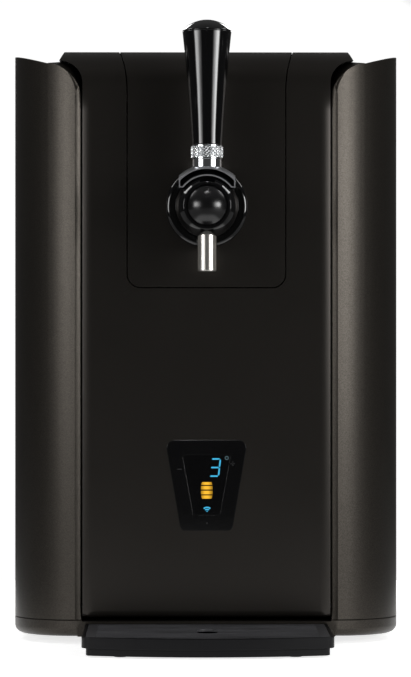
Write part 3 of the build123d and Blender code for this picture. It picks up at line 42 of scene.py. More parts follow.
# ---------------------------------------------------------------- base pan and feet
# A shallow ABS tray that carries the whole machine: injection moulded, then sprayed with
# the same graphite lacquer as the sides. Four natural rubber feet are pressed in below.
def linear(code):
    """Turn an sRGB hex code into the linear colour that shaders take."""
    parts = [int(code[i:i + 2], 16) / 255 for i in (1, 3, 5)]
    return [p / 12.92 if p <= 0.04045 else ((p + 0.055) / 1.055) ** 2.4 for p in parts] + [1.0]


def add(tree, kind, sockets=(), **settings):
    """Add one node; sockets maps an input's name or index to a value or to another node's output."""
    node = tree.nodes.new(kind)
    for name, value in settings.items():
        setattr(node, name, value)
    for name, value in dict(sockets).items():
        if isinstance(value, bpy.types.NodeSocket):
            tree.links.new(value, node.inputs[name])
        else:
            node.inputs[name].default_value = value
    return node


def new_material(name):
    """An empty node material, its tree and its object coordinates."""
    material = bpy.data.materials.new(name)
    material.use_nodes = True
    material.node_tree.nodes.clear()
    place = add(material.node_tree, "ShaderNodeTexCoord").outputs["Object"]
    return material, material.node_tree, place


def finish_with(tree, shader):
    """End a material with its surface shader."""
    add(tree, "ShaderNodeOutputMaterial", {"Surface": shader.outputs[0]})


def own(piece, body, slot, material, *replaced):
    """A finished piece takes its material, its place in the machine and the nodes that it stands for."""
    piece.data.materials.clear()
    piece.data.materials.append(material)
    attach(piece, body)
    if replaced:
        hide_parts(*replaced)
    return piece


def merged(node):
    """Copy of a moulded piece's shape, its loose triangles merged into faces, as a bmesh."""
    shape = bmesh.new()
    shape.from_mesh(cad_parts[node].data)
    bmesh.ops.remove_doubles(shape, verts=shape.verts, dist=2e-6)
    bmesh.ops.dissolve_limit(shape, angle_limit=radians(0.4), verts=shape.verts, edges=shape.edges)
    return shape


def finished(name, shape, edge, angle=30, segments=2):
    """Object from a bmesh, smooth, its sharp edges rounded by edge metres and its flat faces left flat."""
    mesh = bpy.data.meshes.new(name)
    shape.to_mesh(mesh)
    shape.free()
    mesh.materials.clear()
    raw = bpy.data.objects.new(name + "_raw", mesh)
    scene.collection.objects.link(raw)
    for face in mesh.polygons:
        face.use_smooth = True
    if edge:
        bevel = raw.modifiers.new("round", "BEVEL")
        bevel.width = edge
        bevel.segments = segments
        bevel.limit_method = "ANGLE"
        bevel.angle_limit = radians(angle)
    else:
        mesh.set_sharp_from_angle(angle=radians(angle))
    level = raw.modifiers.new("level", "WEIGHTED_NORMAL")
    level.mode = "FACE_AREA"
    level.weight = 100
    level.keep_sharp = True
    done = bpy.data.meshes.new_from_object(raw.evaluated_get(bpy.context.evaluated_depsgraph_get()))
    bpy.data.objects.remove(raw)
    piece = bpy.data.objects.new(name, done)
    scene.collection.objects.link(piece)
    return piece


def dressed(name, node, edge, body, slot, material, **rounding):
    """A node's own shape as a finished piece that stands for it."""
    return own(finished(name, merged(node), edge, **rounding), body, slot, material, node)


# ABS under graphite metallic lacquer: a warm near-black that glows softly where light meets
# it, from flakes about 0.05 mm wide (drawn 0.35 mm) under a satin clear coat.
graphite, tree, place = new_material("abs_graphite_lacquer")
flakes = add(tree, "ShaderNodeTexVoronoi", {"Vector": place, "Scale": 1 / 0.00035})
flake = add(tree, "ShaderNodeSeparateColor", {"Color": flakes.outputs["Color"]})
drift = add(tree, "ShaderNodeTexNoise", {"Vector": place, "Scale": 1 / 0.12, "Detail": 2.0})
tone = add(tree, "ShaderNodeMix", {0: flake.outputs[0], 6: linear("#2e2b27"), 7: linear("#45413c")},
           data_type="RGBA")
peel = add(tree, "ShaderNodeTexNoise", {"Vector": place, "Scale": 1 / 0.0016, "Detail": 2.0})
relief = add(tree, "ShaderNodeBump", {"Height": peel.outputs[0], "Strength": 0.03, "Distance": 0.0002})
rough = add(tree, "ShaderNodeMapRange", {"Value": drift.outputs[0], "To Min": 0.36, "To Max": 0.4})
finish_with(tree, add(tree, "ShaderNodeBsdfPrincipled", {
    "Base Color": tone.outputs[2], "Metallic": 0.85, "Roughness": rough.outputs[0],
    "Normal": relief.outputs[0]}))

# Natural rubber, moulded: dull black, slightly uneven, with a trace of bloom.
rubber, tree, place = new_material("moulded_rubber")
bloom = add(tree, "ShaderNodeTexNoise", {"Vector": place, "Scale": 1 / 0.006, "Detail": 4.0})
shade = add(tree, "ShaderNodeMix", {0: bloom.outputs[0], 6: linear("#131313"), 7: linear("#272625")},
            data_type="RGBA")
grit = add(tree, "ShaderNodeTexNoise", {"Vector": place, "Scale": 1 / 0.0005})
relief = add(tree, "ShaderNodeBump", {"Height": grit.outputs[0], "Strength": 0.25, "Distance": 0.0002})
finish_with(tree, add(tree, "ShaderNodeBsdfPrincipled", {
    "Base Color": shade.outputs[2], "Roughness": 0.85, "IOR": 1.52, "Normal": relief.outputs[0]}))


def crowned(piece, lean=18.0):
    """Turn the shading of the rounded front corners outwards, by lean degrees beside the door and none
    at the flat side, and that of the bevel beside the door inwards by as much."""
    door_edge, corner_end = 0.0935, -0.03         # out from the middle, and back from the front
    bevel_from, bevel_to = -1.0, -0.2             # how far the bevel faces inwards, in radians
    upright = 0.3                                 # faces that look up or down more than this stay
    mesh = piece.data
    normals = [Vector(item.vector) for item in mesh.corner_normals]
    for face in mesh.polygons:
        for loop in face.loop_indices:
            n, spot = normals[loop], mesh.vertices[mesh.loops[loop].vertex_index].co
            hand = 1 if spot.x > 0 else -1
            outward = atan2(n.x * hand, -n.y)
            flat = hypot(n.x, n.y)
            in_corner = abs(spot.x) > door_edge and spot.y < corner_end
            if in_corner and flat > upright and bevel_from < outward < radians(90):
                if outward > bevel_to:
                    turned = radians(lean) + outward * (1 - lean / 90)
                else:
                    turned = outward - radians(lean)
                normals[loop] = Vector((sin(turned) * flat * hand, -cos(turned) * flat, n.z))
    mesh.normals_split_custom_set(normals)
    return piece


pan = crowned(finished("base_pan_shell", merged("base_pan"), 0.0004))
own(pan, "machine", "graphite_plastic", graphite, "base_pan")
dressed("feet", "rubber_feet", 0.0004, "machine", "black_rubber", rubber)

# ---------------------------------------------------------------- side panels
# Two large injection moulded ABS shells, rounded in front and open inside, hooked over the
# base pan and screwed at the back. Their bevelled inner edges frame the door.
for side in ("left", "right"):
    shell = crowned(finished(side + "_side_shell", merged(side + "_side_panel"), 0.0005))
    own(shell, "machine", "graphite_plastic", graphite, side + "_side_panel")

# ---------------------------------------------------------------- front frame
# Black ABS frame between the side panels: the door's gasket closes on its flat face. Two
# neodymium magnets, plated with nickel, are glued in to hold the door shut.
# ABS from a spark-eroded mould: near-black, satin, with a pebble of 0.2 mm (drawn 0.5 mm).
satin_black, tree, place = new_material("abs_satin_black")
pebble = add(tree, "ShaderNodeTexNoise", {"Vector": place, "Scale": 1 / 0.0005, "Detail": 2.0})
handling = add(tree, "ShaderNodeTexNoise", {"Vector": place, "Scale": 1 / 0.07, "Detail": 4.0,
                                            "Roughness": 0.6})
rough = add(tree, "ShaderNodeMapRange", {"Value": handling.outputs[0], "To Min": 0.28, "To Max": 0.33})
shade = add(tree, "ShaderNodeMix", {0: handling.outputs[0], 6: linear("#161513"), 7: linear("#1c1a18")},
            data_type="RGBA")
relief = add(tree, "ShaderNodeBump", {"Height": pebble.outputs[0], "Strength": 0.06, "Distance": 0.0001})
finish_with(tree, add(tree, "ShaderNodeBsdfPrincipled", {
    "Base Color": shade.outputs[2], "Roughness": rough.outputs[0], "IOR": 1.45,
    "Specular IOR Level": 0.45, "Specular Tint": linear("#fff6ee"), "Normal": relief.outputs[0]}))

# Nickel plate over sintered magnet: pale warm metal, a little cloudy, with fine scuffs.
nickel, tree, place = new_material("nickel_plate")
cloud = add(tree, "ShaderNodeTexNoise", {"Vector": place, "Scale": 1 / 0.003, "Detail": 5.0})
rough = add(tree, "ShaderNodeMapRange", {"Value": cloud.outputs[0], "To Min": 0.14, "To Max": 0.34})
finish_with(tree, add(tree, "ShaderNodeBsdfPrincipled", {
    "Base Color": linear("#c9c3b8"), "Metallic": 1.0, "Roughness": rough.outputs[0]}))

dressed("door_frame", "front_frame", 0.0004, "machine", "dark_plastic", satin_black)
dressed("keeper_magnets", "frame_magnets", 0.0003, "machine", "magnet", nickel)

# ---------------------------------------------------------------- keg chamber
# Vacuum-formed white polystyrene tub with a grid rest for the keg, and a jacket of cut
# polyurethane foam round it. The tub's rim is clipped to the front frame.
# High-impact polystyrene, formed over a matt tool: soft white with a faint orange peel.
polystyrene, tree, place = new_material("white_polystyrene")
peel = add(tree, "ShaderNodeTexNoise", {"Vector": place, "Scale": 1 / 0.002, "Detail": 3.0})
stain = add(tree, "ShaderNodeTexNoise", {"Vector": place, "Scale": 1 / 0.09, "Detail": 3.0})
shade = add(tree, "ShaderNodeMix", {0: stain.outputs[0], 6: linear("#dcdad3"), 7: linear("#e9e8e3")},
            data_type="RGBA")
relief = add(tree, "ShaderNodeBump", {"Height": peel.outputs[0], "Strength": 0.1, "Distance": 0.0003})
finish_with(tree, add(tree, "ShaderNodeBsdfPrincipled", {
    "Base Color": shade.outputs[2], "Roughness": 0.38, "IOR": 1.59, "Normal": relief.outputs[0]}))

# Rigid polyurethane foam, sawn: cream, all open cut cells 0.4 mm across (drawn 1.2 mm).
foam, tree, place = new_material("polyurethane_foam")
cells = add(tree, "ShaderNodeTexVoronoi", {"Vector": place, "Scale": 1 / 0.0012}, feature="SMOOTH_F1")
skin = add(tree, "ShaderNodeTexNoise", {"Vector": place, "Scale": 1 / 0.02, "Detail": 4.0})
shade = add(tree, "ShaderNodeMix", {0: skin.outputs[0], 6: linear("#cdb98a"), 7: linear("#e3d6ae")},
            data_type="RGBA")
relief = add(tree, "ShaderNodeBump", {"Height": cells.outputs[0], "Strength": 0.6, "Distance": 0.0008})
finish_with(tree, add(tree, "ShaderNodeBsdfPrincipled", {
    "Base Color": shade.outputs[2], "Roughness": 0.92, "IOR": 1.45, "Normal": relief.outputs[0]}))

dressed("chamber_tub", "chamber_liner", 0.0006, "machine", "pale_plastic", polystyrene)
dressed("keg_rest_grid", "keg_rest", 0.0005, "machine", "pale_plastic", polystyrene)
dressed("chamber_foam", "foam_jacket", 0.0005, "machine", "foam", foam)

# ---------------------------------------------------------------- cooler
# Milled aluminium block that touches the keg, a Peltier plate behind it and an extruded
# aluminium sink, screwed together through four nylon spacers.
# Aluminium, milled and left bare: pale grey with cutter lines 0.4 mm apart (drawn 0.8 mm).
milled, tree, place = new_material("milled_aluminium")
lines = add(tree, "ShaderNodeTexWave", {"Vector": place, "Scale": 0.314 / 0.0008 / 2, "Distortion": 0.6},
            bands_direction="Z")
relief = add(tree, "ShaderNodeBump", {"Height": lines.outputs[1], "Strength": 0.25, "Distance": 0.0001})
rough = add(tree, "ShaderNodeMapRange", {"Value": lines.outputs[1], "To Min": 0.28, "To Max": 0.38})
finish_with(tree, add(tree, "ShaderNodeBsdfPrincipled", {
    "Base Color": linear("#c8c9cb"), "Metallic": 1.0, "Roughness": rough.outputs[0],
    "Normal": relief.outputs[0]}))

# Aluminium, extruded or rolled: long fine die lines that run up the sink.
extruded, tree, place = new_material("extruded_aluminium")
stretch = add(tree, "ShaderNodeMapping", {"Vector": place, "Scale": (1 / 0.0006, 1 / 0.0006, 1 / 0.06)})
drawn = add(tree, "ShaderNodeTexNoise", {"Vector": stretch.outputs[0], "Scale": 1.0, "Detail": 3.0})
relief = add(tree, "ShaderNodeBump", {"Height": drawn.outputs[0], "Strength": 0.2, "Distance": 0.0001})
rough = add(tree, "ShaderNodeMapRange", {"Value": drawn.outputs[0], "To Min": 0.3, "To Max": 0.48})
finish_with(tree, add(tree, "ShaderNodeBsdfPrincipled", {
    "Base Color": linear("#b9bbbd"), "Metallic": 1.0, "Roughness": rough.outputs[0],
    "Normal": relief.outputs[0]}))

# Alumina plate of the Peltier module: chalk white, fine fired grain.
alumina, tree, place = new_material("fired_alumina")
grain = add(tree, "ShaderNodeTexNoise", {"Vector": place, "Scale": 1 / 0.0007, "Detail": 4.0})
shade = add(tree, "ShaderNodeMix", {0: grain.outputs[0], 6: linear("#d9d6cf"), 7: linear("#efede8")},
            data_type="RGBA")
finish_with(tree, add(tree, "ShaderNodeBsdfPrincipled", {
    "Base Color": shade.outputs[2], "Roughness": 0.6, "IOR": 1.76}))

# Nylon 6, moulded: milky, light passes a little way in.
nylon, tree, place = new_material("milky_nylon")
flow = add(tree, "ShaderNodeTexNoise", {"Vector": place, "Scale": 1 / 0.004, "Detail": 2.0})
rough = add(tree, "ShaderNodeMapRange", {"Value": flow.outputs[0], "To Min": 0.32, "To Max": 0.48})
finish_with(tree, add(tree, "ShaderNodeBsdfPrincipled", {
    "Base Color": linear("#e4e1d6"), "Roughness": rough.outputs[0], "IOR": 1.53,
    "Subsurface Weight": 0.25, "Subsurface Radius": (0.002, 0.002, 0.0016), "Subsurface Scale": 1.0}))

dressed("cold_plate", "cold_block", 0.0004, "machine", "bare_aluminium", milled)
dressed("peltier_plate", "peltier_module", 0.0003, "machine", "ceramic_plate", alumina)
dressed("finned_sink", "heat_sink", 0.0002, "machine", "bare_aluminium", extruded)
dressed("sink_bushes", "sink_spacers", 0.0003, "machine", "white_nylon", nylon)

# ---------------------------------------------------------------- fan
# A standard 92 mm fan of glass-filled PBT: square frame with a round bore, and a rotor of
# seven pitched blades on a hub that turns on the frame's steel axle.
# PBT with glass fibre, moulded: charcoal black, dry sheen, fibres show as a fine speckle.
pbt, tree, place = new_material("black_pbt")
fibre = add(tree, "ShaderNodeTexNoise", {"Vector": place, "Scale": 1 / 0.0006, "Detail": 5.0})
shade = add(tree, "ShaderNodeMix", {0: fibre.outputs[0], 6: linear("#0d0d0e"), 7: linear("#232325")},
            data_type="RGBA")
relief = add(tree, "ShaderNodeBump", {"Height": fibre.outputs[0], "Strength": 0.15, "Distance": 0.0002})
finish_with(tree, add(tree, "ShaderNodeBsdfPrincipled", {
    "Base Color": shade.outputs[2], "Roughness": 0.5, "IOR": 1.57, "Normal": relief.outputs[0]}))

dressed("fan_housing", "fan_frame", 0.0004, "machine", "dark_plastic", pbt)
dressed("fan_blades", "fan_rotor", 0.0003, "rotor", "black_plastic", pbt)

# ---------------------------------------------------------------- rear panel, guard and screws
# Pressed steel panel, powder coated, screwed to the side panels' flanges. Vent slots and a
# round wire guard let the fan breathe; all screws are zinc-plated pan heads with a cross.
# Epoxy powder over steel: dark grey, fine leather texture of 0.6 mm (drawn 0.9 mm).
powder, tree, place = new_material("powder_coated_steel")
leather = add(tree, "ShaderNodeTexVoronoi", {"Vector": place, "Scale": 1 / 0.0009}, feature="SMOOTH_F1")
wander = add(tree, "ShaderNodeTexNoise", {"Vector": place, "Scale": 1 / 0.03, "Detail": 3.0})
shade = add(tree, "ShaderNodeMix", {0: wander.outputs[0], 6: linear("#1b1b1b"), 7: linear("#252524")},
            data_type="RGBA")
relief = add(tree, "ShaderNodeBump", {"Height": leather.outputs[0], "Strength": 0.3, "Distance": 0.0003})
finish_with(tree, add(tree, "ShaderNodeBsdfPrincipled", {
    "Base Color": shade.outputs[2], "Roughness": 0.55, "IOR": 1.55, "Normal": relief.outputs[0]}))

# Steel with bright zinc: bluish pale metal, spangle too fine to see, rubbed at the crosses.
zinc, tree, place = new_material("zinc_plated_steel")
rub = add(tree, "ShaderNodeTexNoise", {"Vector": place, "Scale": 1 / 0.0015, "Detail": 4.0})
rough = add(tree, "ShaderNodeMapRange", {"Value": rub.outputs[0], "To Min": 0.2, "To Max": 0.42})
finish_with(tree, add(tree, "ShaderNodeBsdfPrincipled", {
    "Base Color": linear("#b7bbc2"), "Metallic": 1.0, "Roughness": rough.outputs[0]}))

# Chrome on drawn steel: bright, with soft drawing lines 2 mm apart that the plating hides in part.
chromed_steel, tree, place = new_material("chromed_steel")
drawn = add(tree, "ShaderNodeTexNoise", {"Vector": place, "Scale": 1 / 0.002, "Detail": 3.0})
rough = add(tree, "ShaderNodeMapRange", {"Value": drawn.outputs[0], "To Min": 0.1, "To Max": 0.24})
finish_with(tree, add(tree, "ShaderNodeBsdfPrincipled", {
    "Base Color": linear("#d2d4d6"), "Metallic": 1.0, "Roughness": rough.outputs[0]}))


def new_tree(name, **sizes):
    """Geometry node tree with one named float input for each size; returns it with its ends."""
    tree = bpy.data.node_groups.new(name, "GeometryNodeTree")
    tree.interface.new_socket("Geometry", in_out="INPUT", socket_type="NodeSocketGeometry")
    for size, value in sizes.items():
        tree.interface.new_socket(size, in_out="INPUT", socket_type="NodeSocketFloat").default_value = value
    tree.interface.new_socket("Geometry", in_out="OUTPUT", socket_type="NodeSocketGeometry")
    return tree, add(tree, "NodeGroupInput").outputs, add(tree, "NodeGroupOutput")


def close_tree(tree, end, geometry, material):
    """Realize the instances, set their material and send them out."""
    real = add(tree, "GeometryNodeRealizeInstances", {0: geometry})
    coated = add(tree, "GeometryNodeSetMaterial", {0: real.outputs[0], "Material": material})
    tree.links.new(coated.outputs[0], end.inputs[0])


def grown(name, tree, points, **sizes):
    """Run a geometry node tree on a set of points and keep the result as a plain mesh."""
    mesh = bpy.data.meshes.new(name + "_points")
    mesh.from_pydata(points, [], [])
    raw = bpy.data.objects.new(name + "_raw", mesh)
    scene.collection.objects.link(raw)
    grow = raw.modifiers.new("grow", "NODES")
    grow.node_group = tree
    for item in tree.interface.items_tree:
        if item.in_out == "INPUT" and item.name in sizes:
            grow[item.identifier] = float(sizes[item.name])
    done = bpy.data.meshes.new_from_object(raw.evaluated_get(bpy.context.evaluated_depsgraph_get()))
    bpy.data.objects.remove(raw)
    piece = bpy.data.objects.new(name, done)
    scene.collection.objects.link(piece)
    return piece


# Pan head screw that points along -Y, its head outside (+Y) of each given point.
screw_tree, given, end = new_tree("pan_head_screw", head_radius=0.003, head_height=0.0018,
                                  shank_radius=0.0016, shank_length=0.009)
cross_reach, cross_width = 1.1, 0.26              # shares of the head's radius
shank_sunk = -0.499                               # middle of the shank, a share of its length
head = add(screw_tree, "GeometryNodeMeshCylinder", {"Vertices": 32, "Radius": given["head_radius"],
                                                    "Depth": given["head_height"]})
low = add(screw_tree, "ShaderNodeMath", {0: given["head_height"], 1: 0.5}, operation="MULTIPLY")
low_place = add(screw_tree, "ShaderNodeCombineXYZ", {"Z": low.outputs[0]})
head_up = add(screw_tree, "GeometryNodeTransform", {0: head.outputs[0], "Translation": low_place.outputs[0]})
slot_size = add(screw_tree, "ShaderNodeMath", {0: given["head_radius"], 1: cross_reach},
                operation="MULTIPLY")
slot_width = add(screw_tree, "ShaderNodeMath", {0: given["head_radius"], 1: cross_width},
                 operation="MULTIPLY")
slot_place = add(screw_tree, "ShaderNodeCombineXYZ", {"Z": given["head_height"]})
cross_arms = []
for x, y in ((slot_size, slot_width), (slot_width, slot_size)):
    size = add(screw_tree, "ShaderNodeCombineXYZ", {"X": x.outputs[0], "Y": y.outputs[0],
                                                    "Z": given["head_height"]})
    arm = add(screw_tree, "GeometryNodeMeshCube", {"Size": size.outputs[0]})
    cross_arms.append(add(screw_tree, "GeometryNodeTransform",
                          {0: arm.outputs[0], "Translation": slot_place.outputs[0]}))
cross = add(screw_tree, "GeometryNodeMeshBoolean", operation="UNION")
for arm in cross_arms:
    screw_tree.links.new(arm.outputs[0], cross.inputs[1])
recessed = add(screw_tree, "GeometryNodeMeshBoolean", {0: head_up.outputs[0], 1: cross.outputs[0]},
               operation="DIFFERENCE")
shank = add(screw_tree, "GeometryNodeMeshCylinder", {"Vertices": 20, "Radius": given["shank_radius"],
                                                     "Depth": given["shank_length"]})
deep = add(screw_tree, "ShaderNodeMath", {0: given["shank_length"], 1: shank_sunk}, operation="MULTIPLY")
deep_place = add(screw_tree, "ShaderNodeCombineXYZ", {"Z": deep.outputs[0]})
shank_down = add(screw_tree, "GeometryNodeTransform",
                 {0: shank.outputs[0], "Translation": deep_place.outputs[0]})
whole = add(screw_tree, "GeometryNodeJoinGeometry", {0: recessed.outputs[0]})
screw_tree.links.new(shank_down.outputs[0], whole.inputs[0])
set_in = add(screw_tree, "GeometryNodeInstanceOnPoints", {
    "Points": given["Geometry"], "Instance": whole.outputs[0], "Rotation": (radians(-90), 0, 0)})
close_tree(screw_tree, end, set_in.outputs[0], zinc)

back_y, fan_z = 0.226, 0.2                        # rear panel's face and the fan's centre
flange_x, flange_rows = 0.0814, (0.0253, 0.2, 0.39)
fan_hole, guard_lift, guard_screw_length = 0.04125, 0.0016, 0.018
panel_screws = [(x, back_y, z) for x in (-flange_x, flange_x) for z in flange_rows]
fan_screw_places = [(x, back_y + guard_lift, z) for x in (-fan_hole, fan_hole)
                    for z in (fan_z - fan_hole, fan_z + fan_hole)]
own(grown("panel_screws", screw_tree, panel_screws), "machine", "steel", zinc, "rear_panel_screws")
own(grown("guard_screws", screw_tree, fan_screw_places, shank_length=guard_screw_length),
    "machine", "steel", zinc, "fan_screws")

# Fan guard: four rings of round wire on four spokes, each with a screw eye at its end.
ring_count, spoke_count, wire_radius = 4, 4, 0.0008
guard_tree, given, end = new_tree("wire_guard", first_radius=0.017, ring_pitch=0.0075, wire=wire_radius,
                                  eye_reach=0.05834, eye_radius=0.0043)
section = add(guard_tree, "GeometryNodeCurvePrimitiveCircle", {"Resolution": 10, "Radius": given["wire"]})
guard = add(guard_tree, "GeometryNodeJoinGeometry")
for ring in range(ring_count):
    radius = add(guard_tree, "ShaderNodeMath", {
        0: given["ring_pitch"], 1: float(ring), 2: given["first_radius"]}, operation="MULTIPLY_ADD")
    hoop = add(guard_tree, "GeometryNodeCurvePrimitiveCircle",
               {"Resolution": 72, "Radius": radius.outputs[0]})
    tube = add(guard_tree, "GeometryNodeCurveToMesh", {0: hoop.outputs[0], 1: section.outputs[0]})
    guard_tree.links.new(tube.outputs[0], guard.inputs[0])
for spoke in range(spoke_count):
    turn = (0, 0, radians(45 + 360 / spoke_count * spoke))
    start = add(guard_tree, "ShaderNodeCombineXYZ", {"X": given["first_radius"]})
    reach = add(guard_tree, "ShaderNodeMath", {0: given["eye_reach"], 1: given["eye_radius"]},
                operation="SUBTRACT")
    stop = add(guard_tree, "ShaderNodeCombineXYZ", {"X": reach.outputs[0]})
    line = add(guard_tree, "GeometryNodeCurvePrimitiveLine",
               {"Start": start.outputs[0], "End": stop.outputs[0]})
    rod = add(guard_tree, "GeometryNodeCurveToMesh", {0: line.outputs[0], 1: section.outputs[0],
                                                      "Fill Caps": True})
    middle = add(guard_tree, "ShaderNodeCombineXYZ", {"X": given["eye_reach"]})
    loop = add(guard_tree, "GeometryNodeCurvePrimitiveCircle",
               {"Resolution": 28, "Radius": given["eye_radius"]})
    eye = add(guard_tree, "GeometryNodeCurveToMesh", {0: loop.outputs[0], 1: section.outputs[0]})
    eye_out = add(guard_tree, "GeometryNodeTransform", {0: eye.outputs[0], "Translation": middle.outputs[0]})
    arm = add(guard_tree, "GeometryNodeJoinGeometry", {0: rod.outputs[0]})
    guard_tree.links.new(eye_out.outputs[0], arm.inputs[0])
    turned_arm = add(guard_tree, "GeometryNodeTransform", {0: arm.outputs[0], "Rotation": turn})
    guard_tree.links.new(turned_arm.outputs[0], guard.inputs[0])
smooth = add(guard_tree, "GeometryNodeSetShadeSmooth", {0: guard.outputs[0]})
set_in = add(guard_tree, "GeometryNodeInstanceOnPoints", {
    "Points": given["Geometry"], "Instance": smooth.outputs[0], "Rotation": (radians(-90), 0, 0)})
close_tree(guard_tree, end, set_in.outputs[0], chromed_steel)
own(grown("wire_fan_guard", guard_tree, [(0, back_y + wire_radius, fan_z)]), "machine", "steel_wire",
    chromed_steel, "fan_guard")

dressed("back_panel", "rear_panel", 0.0003, "machine", "painted_steel", powder)

# ---------------------------------------------------------------- top cover
# ABS moulding that closes the machine above the chamber and carries the lid, in the same
# fine-textured satin black as the door.
dressed("cover_shell", "top_cover", 0.0006, "machine", "dark_plastic", satin_black)

# ---------------------------------------------------------------- front door
# Hollow ABS door that drops forward on two steel pins: its skin rolls back into a brow with
# two ears. Inside are a foam core, a white liner, two magnets and a rubber gasket.
door = merged("front_door")
roll_start, roll_step, roll_width, roll_depth = 0.0818, 0.0016, 0.0076, 0.0013
roll_top, roll_fade, face_back = 0.4, 0.015, -0.1121
cuts = [((side * (roll_start + step * roll_step), 0, 0), (1, 0, 0)) for side in (-1, 1) for step in range(5)]
cuts += [((0, 0, level), (0, 0, 1)) for level in (0.385, 0.390, 0.395, 0.400)]
for spot, across in cuts:
    bmesh.ops.bisect_plane(door, geom=door.verts[:] + door.edges[:] + door.faces[:], plane_co=spot,
                           plane_no=across)
for vert in door.verts:
    out = (abs(vert.co.x) - roll_start) / roll_width
    if out > 0 and vert.co.y < face_back and vert.co.z < roll_top:
        fade = min(1, (roll_top - vert.co.z) / roll_fade)
        vert.co.y += roll_depth * min(1, out) ** 2 * fade
own(finished("door_shell", door, 0.0004), "door", "dark_plastic", satin_black, "front_door")
dressed("door_inner_tub", "door_liner", 0.0006, "door", "pale_plastic", polystyrene)
dressed("door_core", "door_foam", 0.0004, "door", "foam", foam)
dressed("door_catch_magnets", "door_magnets", 0.0003, "door", "magnet", nickel)
dressed("door_seal", "door_gasket", 0.0006, "door", "black_rubber", rubber, segments=3)

# Steel, chemically blackened and oiled: blue-black with a soft metallic sheen. It serves as painted shade on
# the door's hinge pins and in the hood's pocket.
shade_blackened_steel, tree, place = new_material("blackened_steel_painted_shade")
oil = add(tree, "ShaderNodeTexNoise", {"Vector": place, "Scale": 1 / 0.003, "Detail": 4.0})
rough = add(tree, "ShaderNodeMapRange", {"Value": oil.outputs[0], "To Min": 0.3, "To Max": 0.5})
shade = add(tree, "ShaderNodeMix", {0: oil.outputs[0], 6: linear("#17181a"), 7: linear("#24262a")},
            data_type="RGBA")
finish_with(tree, add(tree, "ShaderNodeBsdfPrincipled", {
    "Base Color": shade.outputs[2], "Metallic": 0.8, "Roughness": rough.outputs[0]}))

# The door's pins cross the shaded groove beside the door: their blackened steel is painted shade there.
dressed("hinge_pins_door", "door_hinge_pins", 0.0003, "machine", "steel", shade_blackened_steel)
dressed("hinge_plates_door", "door_hinge_brackets", 0.0003, "machine", "painted_steel", powder)

# ---------------------------------------------------------------- display
# Gloss black ABS bezel let into the door, wider at the top, round a smoked acrylic window.
# A small circuit board behind it lights a digit, a barrel and a fan-shaped sign.
# ABS, polished mould: deep black, faint haze and hairlines where it is wiped.
gloss_black, tree, place = new_material("abs_gloss_black")
haze = add(tree, "ShaderNodeTexNoise", {"Vector": place, "Scale": 1 / 0.018, "Detail": 5.0})
rough = add(tree, "ShaderNodeMapRange", {"Value": haze.outputs[0], "To Min": 0.05, "To Max": 0.1})
shade = add(tree, "ShaderNodeMix", {0: haze.outputs[0], 6: linear("#040405"), 7: linear("#080809")},
            data_type="RGBA")
ripple = add(tree, "ShaderNodeTexNoise", {"Vector": place, "Scale": 1 / 0.006, "Detail": 1.0})
relief = add(tree, "ShaderNodeBump", {"Height": ripple.outputs[0], "Strength": 0.015, "Distance": 0.0006})
finish_with(tree, add(tree, "ShaderNodeBsdfPrincipled", {
    "Base Color": shade.outputs[2], "Roughness": rough.outputs[0], "IOR": 1.53, "Normal": relief.outputs[0]}))

# Acrylic tinted nearly black: a hard mirror-smooth front that hides the board behind it.
acrylic, tree, place = new_material("smoked_acrylic")
wipe = add(tree, "ShaderNodeTexNoise", {"Vector": place, "Scale": 1 / 0.01, "Detail": 4.0})
rough = add(tree, "ShaderNodeMapRange", {"Value": wipe.outputs[0], "To Min": 0.04, "To Max": 0.09})
finish_with(tree, add(tree, "ShaderNodeBsdfPrincipled", {
    "Base Color": linear("#040405"), "Roughness": rough.outputs[0], "IOR": 1.49}))

# FR-4 board: green solder mask over copper lines 1 mm apart (drawn 2 mm), dark plastic parts.
board, tree, place = new_material("fr4_circuit_board")
weave = add(tree, "ShaderNodeTexBrick", {"Vector": place, "Scale": 1 / 0.004, "Mortar Size": 0.06,
                                         "Color1": linear("#12562f"), "Color2": linear("#0f4a2a"),
                                         "Mortar": linear("#2c8a52")})
specks = add(tree, "ShaderNodeTexVoronoi", {"Vector": place, "Scale": 1 / 0.007})
pads = add(tree, "ShaderNodeMath", {0: specks.outputs["Distance"], 1: 0.16}, operation="LESS_THAN")
shade = add(tree, "ShaderNodeMix", {0: pads.outputs[0], 6: weave.outputs[0], 7: linear("#b9b4a4")},
            data_type="RGBA")
finish_with(tree, add(tree, "ShaderNodeBsdfPrincipled", {
    "Base Color": shade.outputs[2], "Roughness": 0.35, "IOR": 1.55}))

dressed("display_frame", "display_bezel", 0.00025, "door", "gloss_black", gloss_black)
dressed("display_pane", "display_window", 0.0002, "door", "smoked_window", acrylic)
dressed("display_electronics", "display_board", 0.0002, "door", "circuit_board", board)

window_y, light_depth = -0.1133, 0.00015


def lit(name, code, strength):
    """Light from a diode through a printed mask: even, with a faint random mottle."""
    material, tree, place = new_material(name)
    glow = add(tree, "ShaderNodeTexNoise", {"Vector": place, "Scale": 1 / 0.003, "Detail": 1.0})
    level = add(tree, "ShaderNodeMapRange", {"Value": glow.outputs[0], "To Min": 0.85 * strength,
                                             "To Max": 1.1 * strength})
    light = add(tree, "ShaderNodeEmission", {"Color": linear(code), "Strength": level.outputs[0]})
    finish_with(tree, light)
    return material


def sign(name, outlines, material, y=window_y, depth=light_depth):
    """Thin lit or printed shapes on the door's face, from outlines in millimetres."""
    shape = bmesh.new()
    for outline in outlines:
        face = shape.faces.new([shape.verts.new((x / 1000, y, z / 1000)) for x, z in outline])
        front = bmesh.ops.extrude_face_region(shape, geom=[face])
        for vert in [item for item in front["geom"] if isinstance(item, bmesh.types.BMVert)]:
            vert.co.y -= depth
    bmesh.ops.recalc_face_normals(shape, faces=shape.faces)
    return own(finished(name, shape, 0), "door", "smoked_window", material)


